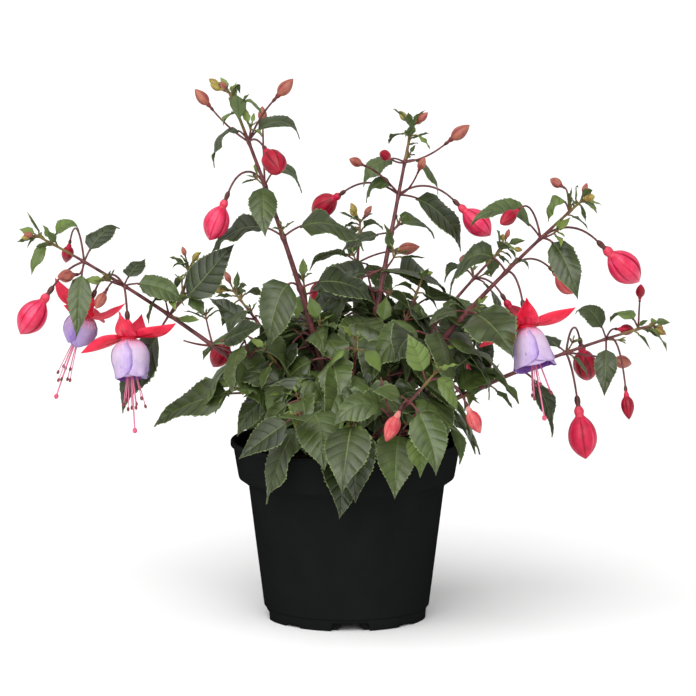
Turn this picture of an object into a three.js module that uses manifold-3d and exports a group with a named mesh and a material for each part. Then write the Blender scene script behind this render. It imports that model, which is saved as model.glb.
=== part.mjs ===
// A fuchsia in a round black nursery pot: a short woody stump in the compost, arching red-brown stems
// that carry leaves in opposite pairs, and buds and open flowers that hang on thin stalks.
// Millimetres, +Z up, the front of the plant towards -Y, the origin at the middle of the pot's underside.

import * as THREE from "three";
import { mergeVertices } from "three/addons/utils/BufferGeometryUtils.js";
import Module from "manifold-3d";

const wasm = await Module();
wasm.setup();

// Driving dimensions of the pot
const POT_RADIUS = 65; // outside of the rim
const RIM_HEIGHT = 3.4;
const RIM_CHAMFER = 0.7;
const POT_HEIGHT = 100.4;
const POT_WALL = 1.2;
const RIM_FLANGE = 1.6; // how far the rim stands out of the collar
const COLLAR_FOOT = { radius: 60.6, height: 79.4 };
const BODY_TOP = { radius: 54.9, height: 75.4 };
const BODY_FOOT = { radius: 46.4, height: 6.8 };
const FOOT_STEP = { radius: 45.3, height: 6.3 }; // top of the ring that the pot stands on
const FOOT_RADIUS = 45;
const FOOT_WALL = 1.8;
const FLOOR_UNDERSIDE = 4.8;
const FLOOR_TOP = 6.4;
const NOTCH = { wide: 21, high: 4.4 }; // drain notches, four round the foot
const FOOT_GAP = { wide: 10.6, high: 1.4 }; // shallow gaps half way between them
const NOTCH_TURN = 3; // degrees that the notches stand round from the axes
const POT_SIDES = 32;
const WALL_LIFT = 0.4; // how far the inside of each shoulder lies above its outside

// Driving dimensions of the compost and the stump
const COMPOST_TOP = 84;
const COMPOST_EDGE_DROP = 1.6; // lower at the wall than in the middle
const CLEAR = 0.3; // gap between pieces that meet
const COMPOST_SIDES = 24;
const STUMP = { flare: 11, foot: 8, top: 6.6, height: 17, lean: [1.2, -0.8], sides: 12, rings: 4 };
const STEM_FOOT = { level: { out: 4.2, drop: 11 }, steep: { out: 2.4, drop: 3 } }; // beside the stump's top

// The growth rule, as shares of a stem's own named sizes
const TIP_GAP = 0.35; // the youngest internode, as a share of the longest
const GAP_POWER = 0.6;
const GAP_NODES = 3; // nodes over which the internodes reach full length
const LEAFLESS = 6; // least length of bare stem past a bough's tip
const STEM_TIP = { share: 0.34, least: 0.75 }; // radius at a stem's tip, as a share of its girth
const SIDES = { bough: 5, stem: 4, twig: 3, bud: 5, flower: 6 };
const STEM_SEGMENT = 30; // longest straight part of a stem
const TIP_LEAF = 0.33; // the youngest pair, as a share of the largest leaf
const LEAF_POWER = 0.8;
const LEAF_NODES = 4; // nodes over which the leaves reach full length
const LEAF_WIDTH = 0.62; // width over length
const LEAF_BELLY = [0.6, 1.1]; // powers that give the blade its egg shape
const LEAF_TURN = 14; // most degrees that a leaf turns round its stem out of its pair's plane
const LEAF_VARY = [0.92, 1.06];
const LEAF_SET = { along: 0.42, up: 0.18 }; // how far a leaf sets off along its stem and upwards
const LEAF_FACE = { up: 0.75, along: 0.5, out: 0.15 }; // which way its upper side looks
const LEAF_FOLD = [-0.05, 0.22];
const PETIOLE = { share: 0.2, plus: 1.5, depth: 1.5, fold: 0.3 };
const SMALL_LEAF = 20; // a shorter leaf widens all the way from its stem
const SMALL_LEAF_FREE = 0.2; // share of its length past which it has to be clear of its own stem
const LEAF_SIZES = [
  { under: SMALL_LEAF, radius: 0.5, thick: 0.6, shares: [0.36] },
  { under: 30, radius: 0.65, thick: 0.7, shares: [0.36] },
  { under: Infinity, radius: 0.75, thick: 0.9, shares: [0.28, 0.66] },
];
const TRIES = [ // size and bend
  [1, 0], [1, -0.8], [1, 0.9], [0.84, 0], [0.84, -0.9], [0.84, 1], [0.68, 0], [0.6, 1],
];
const SPARE = 0.28; // spare thickness with which a piece is tried against its neighbours
const LEAF_DROOP = [1, 2.8]; // least and most bend of a blade under its own weight
const SIDE_SHOOT = {
  share: 0.18, length: [8, 15], young: 0.5, older: 0.14, radius: 0.7, droop: -0.3,
  set: { out: 0.75, along: 0.7, up: 0.2 },
  leaf: { at: 0.97, out: 0.8, along: 0.75, up: 0.3, length: [10.4, 15.6], droop: [0.2, 1], fold: 0.2 },
};
const TIP_PAIR = { at: 0.985, out: 0.55, length: [8, 12], droop: [0.2, 1.1], fold: 0.15 };

const DEGREE = Math.PI / 180;
const UP = new THREE.Vector3(0, 0, 1);
const FRONT = new THREE.Vector3(0, -1, 0);
const vec = (p) => new THREE.Vector3(...p);

// What hangs at a node: at counts nodes from the stem's tip, toward is the compass angle from +X, rise the
// angle above level at which the stalk sets off, stalk its length, droop how far the weight bends it, and
// size its size beside a full bud or flower. turn is where a flower's sepals start round it, and a closed
// flower's petals are still rolled into a globe.
const bud = (at, toward, rise, stalk, droop, size) => ({ open: false, at, toward, rise, stalk, droop, size });
const flower = (at, toward, rise, stalk, droop, size, turn, closed = false) => (
  { open: true, at, toward, rise, stalk, droop, size, turn, closed }
);

// A leaf that is set by hand: at counts nodes from the stem's tip, pair is its side of the stem, toward and
// rise are where it sets off, droop is its bend, and face is how far its upper side looks to the front.
const pose = (at, pair, toward, rise, length, droop, face) => ({ at, pair, toward, rise, length, droop, face });

// Each stem leaves the stump, leans towards its bend and ends at its tip. girth is its radius at the foot,
// bare the length of leafless bough, gap its longest internode, leaf its longest leaf, and roll turns its
// leaf pairs. young is the number of nodes over which the leaves reach full length, where that is short.
// poses holds the leaves that are set by hand; the rule sets the rest.
const STEMS = [
  {
    name: "left", bend: [-92, -11, 175], tip: [-172, -18, 218],
    girth: 2.3, bare: 58, gap: 30, leaf: 46, roll: 45,
    hangs: [
      bud(1, 109, 68, 40, 1.5, 0.57), bud(1, 234, -74, 9, -1, 0.6), bud(1, 189, -13, 23, 1.2, 1.04),
      bud(2, 241, 43, 19, 1.3, 0.53), flower(2, 173, 63, 24, 2.1, 0.97, 0.5, true),
      flower(2, 286, -35, 16, 2.5, 1, 0.3),
    ],
    poses: [
      pose(0, -1, 348, 70, 19, 1.4, 0.4), pose(0, 1, 235, 5, 19, 2.3, 0.6), pose(1, -1, 44, 60, 26, 0.9, 0.6),
      pose(1, 1, 262, -29, 36, 2.2, 1), pose(2, -1, 62, 46, 19, 0.6, 0.6), pose(2, 1, 352, 16, 29, 1, 0.9),
      pose(3, -1, 171, -58, 50, 0.1, 0.45), pose(3, 1, 340, -17, 13, 0.4, 0.4),
      pose(4, -1, 323, 27, 29, 0.1, 0.8), pose(4, 1, 337, -1, 42, 2.3, 1),
      pose(5, -1, 355, -52, 21, 0.4, 0.8),
    ],
    branch: {
      at: 3, bend: [-91, 3, 178], tip: [-88, 10, 196], girth: 1.2, gap: 15, leaf: 40, roll: 20, hangs: [],
      poses: [
        pose(1, -1, 316, 7, 16, 2.6, 0.5), pose(1, 1, 309, 75, 12, 1.7, 0.5),
        pose(2, -1, 218, 72, 31, 1.3, 1), pose(2, 1, 358, 44, 39, 0.5, 1),
      ],
    },
  },
  {
    name: "upper_left", bend: [-26, -12, 200], tip: [-65, -30, 300],
    girth: 2.6, bare: 44, gap: 31, leaf: 48, roll: 90,
    hangs: [
      bud(1, 176, 31, 26, -0.5, 0.52), bud(1, 356, 67, 26, 0.5, 0.57), bud(2, 95, 43, 35, -1.5, 0.42),
      bud(1, 292, 22, 24, 0.8, 0.89), bud(2, 177, 63, 30, 2.1, 0.94),
    ],
    poses: [
      pose(0, -1, 305, 87, 16, 3, 1), pose(1, -1, 189, 62, 29, 2.9, 0.1), pose(1, 1, 5, 58, 30, 1.6, 0.2),
      pose(2, -1, 267, 16, 35, 2.3, 1), pose(2, 1, 348, 68, 26, 2.1, 0.3), pose(3, -1, 175, 39, 38, 1.8, 0.5),
      pose(3, 1, 358, 41, 43, 1.6, 0.6), pose(4, -1, 232, 46, 40, 3.9, 1), pose(4, 1, 352, 30, 38, 1.4, 0.9),
    ],
  },
  {
    name: "middle", bend: [22, 16, 200], tip: [37, 45, 273],
    girth: 2.6, bare: 48, gap: 22, leaf: 46, roll: 8,
    hangs: [
      bud(1, 3, 6, 25, -0.7, 0.6), bud(2, 219, 49, 30, 0.5, 0.44), bud(2, 144, 32, 40, 1.1, 0.88),
      bud(1, 244, 0, 18, -0.4, 0.5), bud(2, 306, 10, 23, -1.3, 0.4), bud(2, 352, 38, 35, 1.4, 0.94),
    ],
    poses: [
      pose(0, 1, 332, 32, 12, 2.1, 0.2), pose(1, -1, 202, 33, 26, 2, 0.3), pose(1, 1, 8, 31, 24, 2.2, 0.4),
      pose(2, -1, 200, 60, 22, 1.9, 0.5), pose(2, 1, 356, 0, 40, 1.7, 0.4),
      pose(3, -1, 184, -2, 25, 0.7, 0.3), pose(3, 1, 31, 45, 27, 1.7, 0.5),
      pose(4, -1, 162, -5, 37, 0.4, 0.9), pose(4, 1, 36, 6, 39, 0.9, 1), pose(5, 1, 355, 16, 28, 0.5, 0.6),
    ],
  },
  {
    name: "upper_right", bend: [60, -15, 174], tip: [130, -35, 240],
    girth: 2.5, bare: 50, gap: 32, leaf: 48, roll: 45,
    hangs: [
      bud(0, 127, 85, 14, 1, 0.45), bud(1, 233, 72, 31, 1.1, 0.66), bud(1, 19, 37, 38, 1.4, 1.12),
      bud(2, 34, 41, 33, 1.3, 0.8), flower(2, 300, 22, 25, 2.8, 1, 0.2),
    ],
    poses: [
      pose(0, -1, 211, 72, 21, 2.3, 0.2), pose(0, 1, 357, 76, 15, 2.6, 0.5),
      pose(1, -1, 189, 57, 38, 1.4, 0.25), pose(1, 1, 309, 12, 37, 3.1, 1), pose(2, -1, 181, 60, 41, 2.5, 0.7),
      pose(2, 1, 358, 67, 14, 1.7, 0.1), pose(3, -1, 211, 19, 20, 1, 0.5), pose(3, 1, 291, 10, 50, 1.7, 1),
    ],
  },
  {
    name: "right", bend: [86, 18, 138], tip: [174, 30, 161],
    girth: 2.3, bare: 54, gap: 28, leaf: 42, roll: 45,
    hangs: [
      bud(0, 271, 73, 18, 0.5, 0.44), bud(1, 39, 65, 9, 1, 0.52), bud(1, 297, 35, 38, 4, 0.63),
      bud(2, 64, 72, 30, 1.6, 0.96), bud(2, 39, -9, 33, 0.1, 0.62), bud(2, 314, -54, 26, 2.1, 1.16),
    ],
    poses: [
      pose(0, -1, 141, 64, 20, 1.6, 0.4), pose(0, 1, 350, 27, 18, 1.8, 0.1),
      pose(1, -1, 187, 73, 23, 1.2, 0.6), pose(1, 1, 267, -30, 29, 1.3, 0.9),
      pose(2, -1, 128, 24, 18, 0.1, 0.6), pose(2, 1, 29, -22, 16, 1.1, 0.6),
      pose(3, -1, 117, 70, 15, 0.1, 0.8), pose(3, 1, 319, -6, 36, 2.9, 0.2),
      pose(4, -1, 254, 48, 12, 3.1, 0.6), pose(4, 1, 339, 80, 24, 1.6, 0.8),
    ],
  },
  {
    name: "front", bend: [24, -84, 122], tip: [48, -97, 154],
    girth: 2, bare: 36, gap: 26, leaf: 40, roll: 45, young: 2.5,
    hangs: [
      bud(1, 191, 40, 6, 2.4, 0.7), bud(0, 18, 35, 29, 2.3, 0.66),
    ],
    poses: [
      pose(0, -1, 187, 74, 22, 0.3, 1), pose(0, 1, 337, 41, 22, 3, 1), pose(1, 1, 305, -21, 37, 1.7, 1),
      pose(1, -1, 205, 37, 18, 0.6, 1),
    ],
  },
  {
    name: "front_left", bend: [-16, -38, 128], tip: [-28, -70, 126],
    girth: 1.8, bare: 24, gap: 20, leaf: 46, roll: 35,
    young: 1, droop: [1.6, 2.8], hangs: [],
    poses: [
      pose(0, -1, 182, -35, 33, 0, 0.9), pose(0, 1, 271, -2, 39, 0.5, 1), pose(1, 1, 284, 25, 42, 2.3, 1),
    ],
  },
  {
    name: "front_middle", bend: [2, -40, 126], tip: [4, -74, 122],
    girth: 1.8, bare: 24, gap: 20, leaf: 46, roll: 15,
    young: 1, droop: [1.8, 3], hangs: [],
    poses: [
      pose(0, -1, 264, 1, 46, 1.6, 1), pose(1, 1, 274, -13, 44, 2.2, 1),
    ],
  },
  {
    name: "front_right", bend: [27, -36, 114], tip: [36, -73, 117],
    girth: 1.8, bare: 24, gap: 20, leaf: 48, roll: 40,
    young: 1, droop: [1.4, 2.6], hangs: [],
    poses: [
      pose(1, -1, 262, 11, 48, 2.5, 1), pose(0, 1, 291, 14, 26, 2.1, 1),
    ],
  },
  {
    name: "low_left", bend: [-30, -10, 122], tip: [-62, -20, 132],
    girth: 1.8, bare: 24, gap: 24, leaf: 52, roll: 40,
    young: 1.5, hangs: [],
    poses: [
      pose(0, -1, 176, 2, 47, 0.8, 1), pose(0, 1, 264, 34, 20, 0.8, 0.4), pose(1, -1, 347, 39, 29, 1.2, 0.8),
    ],
  },
  {
    name: "low_right", bend: [34, 0, 118], tip: [66, -6, 126],
    girth: 1.8, bare: 28, gap: 24, leaf: 48, roll: 35,
    young: 1.5, hangs: [],
    poses: [
      pose(0, -1, 98, -21, 18, 0.9, 0.8), pose(0, 1, 2, 58, 28, 1.2, 0.7),
    ],
  },
  {
    name: "back_left", bend: [-36, 46, 142], tip: [-66, 92, 172],
    girth: 2.2, bare: 46, gap: 28, leaf: 44, roll: 45,
    hangs: [bud(1, 160, 20, 18, 2, 0.8), bud(2, 100, 20, 22, 2.4, 1)],
    poses: [
      pose(1, -1, 158, 4, 24, 0, 1),
    ],
  },
  {
    name: "back_middle", bend: [4, 54, 168], tip: [8, 98, 212],
    girth: 2.3, bare: 52, gap: 30, leaf: 46, roll: 45,
    hangs: [
      bud(1, 10, 30, 20, 0.4, 0.6), bud(1, 150, 20, 18, 1.6, 0.8), flower(2, 60, -30, 18, 3, 1, 0.3),
      bud(2, 175, 10, 24, 2.4, 1),
    ],
  },
  {
    name: "back_right", bend: [46, 50, 160], tip: [92, 92, 198],
    girth: 2.2, bare: 48, gap: 30, leaf: 46, roll: 45,
    hangs: [bud(1, 100, 40, 16, 0.6, 0.6), bud(1, 350, 15, 20, 1.8, 0.9), bud(2, 60, 0, 20, 2.6, 1)],
  },
  {
    name: "low_back_left", bend: [-34, 32, 116], tip: [-70, 72, 120],
    girth: 1.8, bare: 30, gap: 26, leaf: 48, roll: 35,
    young: 1.5, hangs: [],
  },
  {
    name: "low_back_right", bend: [30, 38, 116], tip: [62, 80, 120],
    girth: 1.8, bare: 30, gap: 26, leaf: 48, roll: 35,
    young: 1.5, hangs: [],
  },
  {
    name: "inner_upper_left", bend: [-20, 8, 150], tip: [-24, 2, 190],
    girth: 1.8, bare: 40, gap: 24, leaf: 46, roll: 20,
    young: 2, hangs: [],
    poses: [
      pose(0, 1, 8, 20, 30, 1, 0.9), pose(1, 1, 25, 50, 40, 1.2, 0.9),
    ],
  },
  {
    name: "inner_upper_right", bend: [26, 2, 150], tip: [42, 4, 190],
    girth: 1.8, bare: 40, gap: 24, leaf: 46, roll: 60,
    young: 2, hangs: [],
  },
  {
    name: "inner_left", bend: [-24, -12, 128], tip: [-44, -26, 154],
    girth: 1.6, bare: 0, gap: 22, leaf: 48, roll: 60,
    young: 1.5, hangs: [],
  },
  {
    name: "inner_front", bend: [4, -22, 135], tip: [5, -44, 163],
    girth: 1.6, bare: 0, gap: 22, leaf: 50, roll: 20,
    young: 1.5, hangs: [],
  },
  {
    name: "inner_right", bend: [28, -14, 130], tip: [50, -26, 154],
    girth: 1.6, bare: 0, gap: 22, leaf: 50, roll: 50,
    young: 1.5, hangs: [],
  },
  {
    name: "inner_back", bend: [-6, 24, 130], tip: [-12, 46, 160],
    girth: 1.6, bare: 0, gap: 22, leaf: 48, roll: 30,
    young: 1.5, hangs: [],
  },
];

// Bud and flower outlines at full size: distance along the axis from the end of the stalk, and radius
const BUD_OUTLINE = [[0, 0.8], [9.6, 2.3], [14, 5.6], [21, 6.6], [27.5, 4.2], [31, 0]];
const SMALL_BUD_OUTLINE = [[0, 0.6], [8, 2], [17, 6], [31, 0]];
const BELL_OUTLINE = [[0, 0.8], [8, 2.8], [15, 3.4], [20, 8.8], [26, 10.6], [38, 9.2], [34, 5]];
const GLOBE_OUTLINE = [[0, 0.8], [8, 2.8], [15, 3.4], [20, 8.8], [27, 9.6], [32, 6.5], [35, 1]];
const SEPAL = {
  count: 4, at: 15, length: 29, width: 0.42, thick: 1, rise: -8, droop: [-1.7, 0.35], fold: 0.12,
  shares: [0.06, 0.45],
};
const STAMEN = { count: 2, at: 30, length: 20, radius: 0.4, spread: 0.16, droop: 0.2 };
const STYLE = { length: 37, radius: 0.55 };
const STALK = { radius: 0.55, plus: 0.15 };
const BLOOM_SUNK = 0.8; // how far a bud or flower is set back over the end of its stalk

// A repeatable source of numbers from 0 to 1
function randomFrom(seed) {
  let state = seed * 7919 + 17;
  return () => {
    state = (state * 48271) % 2147483647;
    return state / 2147483647;
  };
}

const between = (low, high, share) => low + (high - low) * share;

const mixed = (...parts) => parts.reduce(
  (sum, [direction, share]) => sum.addScaledVector(direction, share), new THREE.Vector3(),
);

// Solids from three.js geometries
function solidOf(geometry) {
  const bare = new THREE.BufferGeometry();
  bare.setAttribute("position", geometry.attributes.position.clone());
  bare.setIndex(geometry.index);
  const merged = mergeVertices(bare, 1e-4);
  const index = merged.index.array;
  const triangles = [];
  for (let i = 0; i < index.length; i += 3) {
    const [a, b, c] = [index[i], index[i + 1], index[i + 2]];
    if (a !== b && b !== c && c !== a) triangles.push(a, b, c);
  }
  return new wasm.Manifold(new wasm.Mesh({
    numProp: 3,
    vertProperties: merged.attributes.position.array,
    triVerts: new Uint32Array(triangles),
  }));
}

function geometryOf(solid) {
  const mesh = solid.getMesh();
  const geometry = new THREE.BufferGeometry();
  geometry.setAttribute("position", new THREE.BufferAttribute(new Float32Array(mesh.vertProperties), 3));
  geometry.setIndex(new THREE.BufferAttribute(new Uint32Array(mesh.triVerts), 1));
  geometry.computeVertexNormals();
  return geometry;
}

const joined = (solids) => solids.reduce((whole, next) => whole.add(next));

// The largest of a solid's separate bodies, without any loose scrap
function largest(solid) {
  return solid.decompose().reduce((best, next) => (next.volume() > best.volume() ? next : best));
}

// A path is a line of evenly spaced points with one side vector, level across the plane that it bends in
function pathOf(points, side) {
  const steps = points.length - 1;
  const at = (t) => {
    const place = Math.min(Math.max(t, 0), 1) * steps;
    const i = Math.min(Math.floor(place), steps - 1);
    return points[i].clone().lerp(points[i + 1], place - i);
  };
  const along = (t) => {
    const step = 0.5 / steps;
    return at(Math.min(t + step, 1)).sub(at(Math.max(t - step, 0))).normalize();
  };
  let length = 0;
  for (let i = 0; i < steps; i++) length += points[i].distanceTo(points[i + 1]);
  return { at, along, side, length };
}

function sideOf(direction) {
  const side = new THREE.Vector3().crossVectors(direction, UP);
  return side.length() < 0.05 ? new THREE.Vector3(1, 0, 0) : side.normalize();
}

const STEM_STEPS = 40;

function stemPath(foot, bend, tip) {
  const curve = new THREE.QuadraticBezierCurve3(foot, vec(bend), vec(tip));
  return pathOf(curve.getSpacedPoints(STEM_STEPS), sideOf(vec(tip).sub(foot)));
}

// Sets off in one direction and bends down, or up where droop is negative, evenly along its length
const BEND_STEPS = 16;

function bendingPath(start, direction, length, droop) {
  const points = [start.clone()];
  for (let i = 0; i < BEND_STEPS; i++) {
    const heading = direction.clone().addScaledVector(UP, (-droop * (i + 0.5)) / BEND_STEPS).normalize();
    points.push(points[i].clone().addScaledVector(heading, length / BEND_STEPS));
  }
  return pathOf(points, sideOf(direction));
}

// Moves each vertex (x, y, z) of a geometry with y from -0.5 to 0.5 to its place along a path
function bent(geometry, place) {
  const position = geometry.attributes.position;
  const vertex = new THREE.Vector3();
  for (let i = 0; i < position.count; i++) {
    vertex.fromBufferAttribute(position, i);
    place(vertex);
    position.setXYZ(i, vertex.x, vertex.y, vertex.z);
  }
  return solidOf(geometry);
}

// A round tapering limb along part of a path
function limb(path, from, to, radiusFrom, radiusTo, sides, segments, flare = () => 0) {
  return bent(new THREE.CylinderGeometry(1, 1, 1, sides, segments), (v) => {
    const share = v.y + 0.5;
    const t = between(from, to, share);
    const radius = between(radiusFrom, radiusTo, share) + flare(share);
    const across = new THREE.Vector3().crossVectors(path.along(t), path.side).normalize();
    const centre = path.at(t);
    const { x, z } = v;
    v.copy(centre).addScaledVector(path.side, z * radius).addScaledVector(across, x * radius);
  });
}

// Half the width of a blade at a share of its length, beside its widest
function belly(share) {
  const [rising, falling] = LEAF_BELLY;
  const peak = rising / (rising + falling);
  const shape = (s) => s ** rising * (1 - s) ** falling;
  return shape(share) / shape(peak);
}

// A flat three-sided bar along a path, given as rows of [share of the path, half its width, depth of its
// keel]. Two of its corners are a leaf's edges and the third its midrib. A last row of no width is the tip.
function keeledBar(path, side, rows, fold) {
  const last = rows.length - 1;
  return bent(new THREE.CylinderGeometry(1, 1, 1, 3, last), (v) => {
    const [t, wide, keel] = rows[Math.round((0.5 + v.y) * last)];
    const face = new THREE.Vector3().crossVectors(side, path.along(t)).normalize();
    const across = v.z > 0.5 ? 0 : -Math.sign(Math.round(v.x)) * wide;
    const down = v.z > 0.5 ? keel : Math.abs(v.x) < 0.1 ? keel / 3 : -wide * fold;
    v.copy(path.at(t)).addScaledVector(side, across).addScaledVector(face, -down);
  });
}

// Rows of a blade that starts at a share of its path, widened and thickened by the spare
function bladeRows(from, width, thick, shares, spare = 0) {
  const rows = shares.map((share) => (
    [between(from, 1, share), 0.5 * width * belly(share) + spare, thick + spare]
  ));
  return [...rows, [1, spare, spare]];
}

// A round outline of [distance, radius] pairs turned about a path's end
function turned(start, along, outline, size, sides, spare = 0) {
  const profile = outline.map(([distance, radius]) => (
    new THREE.Vector2(radius * size + (radius ? spare : 0), distance * size)
  ));
  profile.unshift(new THREE.Vector2(0, profile[0].y));
  if (profile.at(-1).x) profile.push(new THREE.Vector2(0, profile.at(-1).y));
  const geometry = new THREE.LatheGeometry(profile, sides);
  const turn = new THREE.Quaternion().setFromUnitVectors(new THREE.Vector3(0, 1, 0), along);
  geometry.applyQuaternion(turn).translate(start.x, start.y, start.z);
  return solidOf(geometry);
}

// The pot: a collar with a flanged rim, a tapering body, and four feet with drain notches
const COLLAR_TOP = { radius: POT_RADIUS - RIM_FLANGE, height: POT_HEIGHT - RIM_HEIGHT };

const POT_INSIDE = [
  [FOOT_RADIUS - POT_WALL, FLOOR_TOP],
  [BODY_TOP.radius - POT_WALL, BODY_TOP.height + WALL_LIFT],
  [COLLAR_FOOT.radius - POT_WALL, COLLAR_FOOT.height + POT_WALL + WALL_LIFT],
  [COLLAR_TOP.radius - POT_WALL, POT_HEIGHT],
];

function latheSolid(outline, sides) {
  const profile = outline.map(([radius, height]) => new THREE.Vector2(radius, height));
  return solidOf(new THREE.LatheGeometry(profile, sides).rotateX(Math.PI / 2));
}

function potSolid() {
  const outside = [
    [0, FLOOR_UNDERSIDE], [FOOT_RADIUS - FOOT_WALL, FLOOR_UNDERSIDE],
    [FOOT_RADIUS - FOOT_WALL, 0], [FOOT_RADIUS, 0],
    [FOOT_STEP.radius, FOOT_STEP.height], [BODY_FOOT.radius, BODY_FOOT.height],
    [BODY_TOP.radius, BODY_TOP.height], [COLLAR_FOOT.radius, COLLAR_FOOT.height],
    [COLLAR_TOP.radius, COLLAR_TOP.height],
    [POT_RADIUS, COLLAR_TOP.height + RIM_CHAMFER], [POT_RADIUS, POT_HEIGHT],
  ];
  let pot = latheSolid([...outside, ...POT_INSIDE.toReversed(), [0, FLOOR_TOP]], POT_SIDES);
  const cut = (angle, { wide, high }) => {
    const box = new THREE.BoxGeometry(3 * FOOT_WALL, wide, 2 * high);
    box.translate(FOOT_RADIUS - FOOT_WALL / 2, 0, 0).rotateZ(angle);
    pot = pot.subtract(solidOf(box));
  };
  for (let quarter = 0; quarter < 4; quarter++) {
    cut((quarter * 90 + NOTCH_TURN) * DEGREE, NOTCH);
    cut((quarter * 90 + 45 + NOTCH_TURN) * DEGREE, FOOT_GAP);
  }
  return pot;
}

function compostSolid() {
  const filled = POT_INSIDE.slice(0, 3).map(([radius, height]) => [radius - 2 * CLEAR, height + CLEAR]);
  return latheSolid([
    [0, FLOOR_TOP + CLEAR], ...filled, [filled[2][0] + CLEAR / 2, COMPOST_TOP - COMPOST_EDGE_DROP],
    [2 * STUMP.flare, COMPOST_TOP], [0, COMPOST_TOP],
  ], COMPOST_SIDES);
}

// The stump, from its flat foot on the compost to the top that the boughs leave
const stumpFoot = new THREE.Vector3(0, 0, COMPOST_TOP + CLEAR);
const stumpTop = stumpFoot.clone().add(new THREE.Vector3(...STUMP.lean, STUMP.height));

// A leaning stack of level rings, flared at the foot, drawn out past its top by the spare
function stumpSolid(spare) {
  return bent(new THREE.CylinderGeometry(1, 1, 1, STUMP.sides, STUMP.rings), (v) => {
    const share = v.y + 0.5;
    const flare = (STUMP.flare - STUMP.foot) * (1 - share) ** 4;
    const radius = between(STUMP.foot, STUMP.top, share) + flare + spare;
    const centre = stumpFoot.clone().lerp(stumpTop, share);
    v.set(centre.x + v.z * radius, centre.y + v.x * radius, centre.z + share * spare);
  });
}

// Where a stem leaves the stump: steep stems higher and nearer its middle
function footOf(stem) {
  const lean = vec(stem.bend).sub(stumpTop);
  const steep = Math.max(lean.z / lean.length(), 0);
  const { level, steep: upright } = STEM_FOOT;
  const out = new THREE.Vector3(lean.x, lean.y, 0).setLength(between(level.out, upright.out, steep));
  return stumpTop.clone().add(out).setZ(stumpTop.z - between(level.drop, upright.drop, steep));
}

// Every piece that later pieces have to stay clear of
const placed = [];

function boxOf(solid) {
  const { min, max } = solid.boundingBox();
  return new THREE.Box3(vec(min), vec(max));
}

function place(solid, owner) {
  placed.push({ solid, owner, box: boxOf(solid) });
  return solid;
}

function isClear(solid, except = () => false) {
  const box = boxOf(solid);
  const near = placed.filter((other) => !except(other.owner) && box.intersectsBox(other.box));
  return near.every((other) => solid.intersect(other.solid).isEmpty());
}

// Nodes of a stem: where they are as shares of its length, counted from the tip
function nodesOf(stem, path, lowest) {
  const nodes = [];
  let back = 0;
  for (let k = 0; ; k++) {
    back += stem.gap * between(TIP_GAP, 1, Math.min(1, k / GAP_NODES) ** GAP_POWER);
    const t = 1 - back / path.length;
    if (back > path.length - lowest) return nodes;
    nodes.push({ k, t });
  }
}

const tipRadius = (girth) => Math.max(STEM_TIP.share * girth, STEM_TIP.least);
const stemRadius = (stem, t) => between(stem.girth, tipRadius(stem.girth), t);

function heading(toward, rise) {
  const level = Math.cos(rise * DEGREE);
  const turn = toward * DEGREE;
  return new THREE.Vector3(level * Math.cos(turn), level * Math.sin(turn), Math.sin(rise * DEGREE));
}

// A stalk and the bud or flower at its end, as a list of solids
function hangSolids(hang, start, spare) {
  const direction = heading(hang.toward, hang.rise);
  const stalk = bendingPath(start, direction, hang.stalk, hang.droop);
  const end = stalk.at(1);
  const along = stalk.along(1);
  const thin = STALK.radius + STALK.plus * hang.size + spare;
  const solids = [limb(stalk, 0, 1, thin, thin, SIDES.twig, 2)];
  const from = end.clone().addScaledVector(along, -BLOOM_SUNK);
  if (!hang.open) {
    const skin = hang.size > 0.7 ? BUD_OUTLINE : SMALL_BUD_OUTLINE;
    solids.push(turned(from, along, skin, hang.size, SIDES.bud, spare));
    return solids;
  }
  const corolla = hang.closed ? GLOBE_OUTLINE : BELL_OUTLINE;
  solids.push(turned(from, along, corolla, hang.size, SIDES.flower, spare));
  const side = sideOf(along);
  const front = new THREE.Vector3().crossVectors(side, along).normalize();
  const around = (angle) => mixed([side, Math.cos(angle)], [front, Math.sin(angle)]);
  const collar = from.clone().addScaledVector(along, SEPAL.at * hang.size);
  for (let i = 0; i < SEPAL.count; i++) {
    const out = around((i + 0.5) * 90 * DEGREE + hang.turn);
    const droop = SEPAL.droop[i % 2];
    const set = out.clone().addScaledVector(along, -Math.sin(SEPAL.rise * DEGREE)).normalize();
    const path = bendingPath(collar, set, SEPAL.length * hang.size, droop);
    const wide = new THREE.Vector3().crossVectors(out, along).normalize();
    const width = SEPAL.length * SEPAL.width * hang.size;
    solids.push(keeledBar(path, wide, bladeRows(0, width, SEPAL.thick, SEPAL.shares, spare), SEPAL.fold));
  }
  const mouth = from.clone().addScaledVector(along, STAMEN.at * hang.size);
  for (let i = 0; i < STAMEN.count; i++) {
    const outwards = around((i / STAMEN.count) * 2 * Math.PI);
    const splay = along.clone().addScaledVector(outwards, STAMEN.spread).normalize();
    const path = bendingPath(mouth, splay, STAMEN.length * hang.size, STAMEN.droop);
    solids.push(limb(path, 0, 1, STAMEN.radius + spare, STAMEN.radius + spare, SIDES.twig, 1));
  }
  const style = bendingPath(mouth, along, STYLE.length * hang.size, STAMEN.droop);
  solids.push(limb(style, 0, 1, STYLE.radius + spare, STYLE.radius + spare, SIDES.twig, 2));
  return solids;
}

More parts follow.
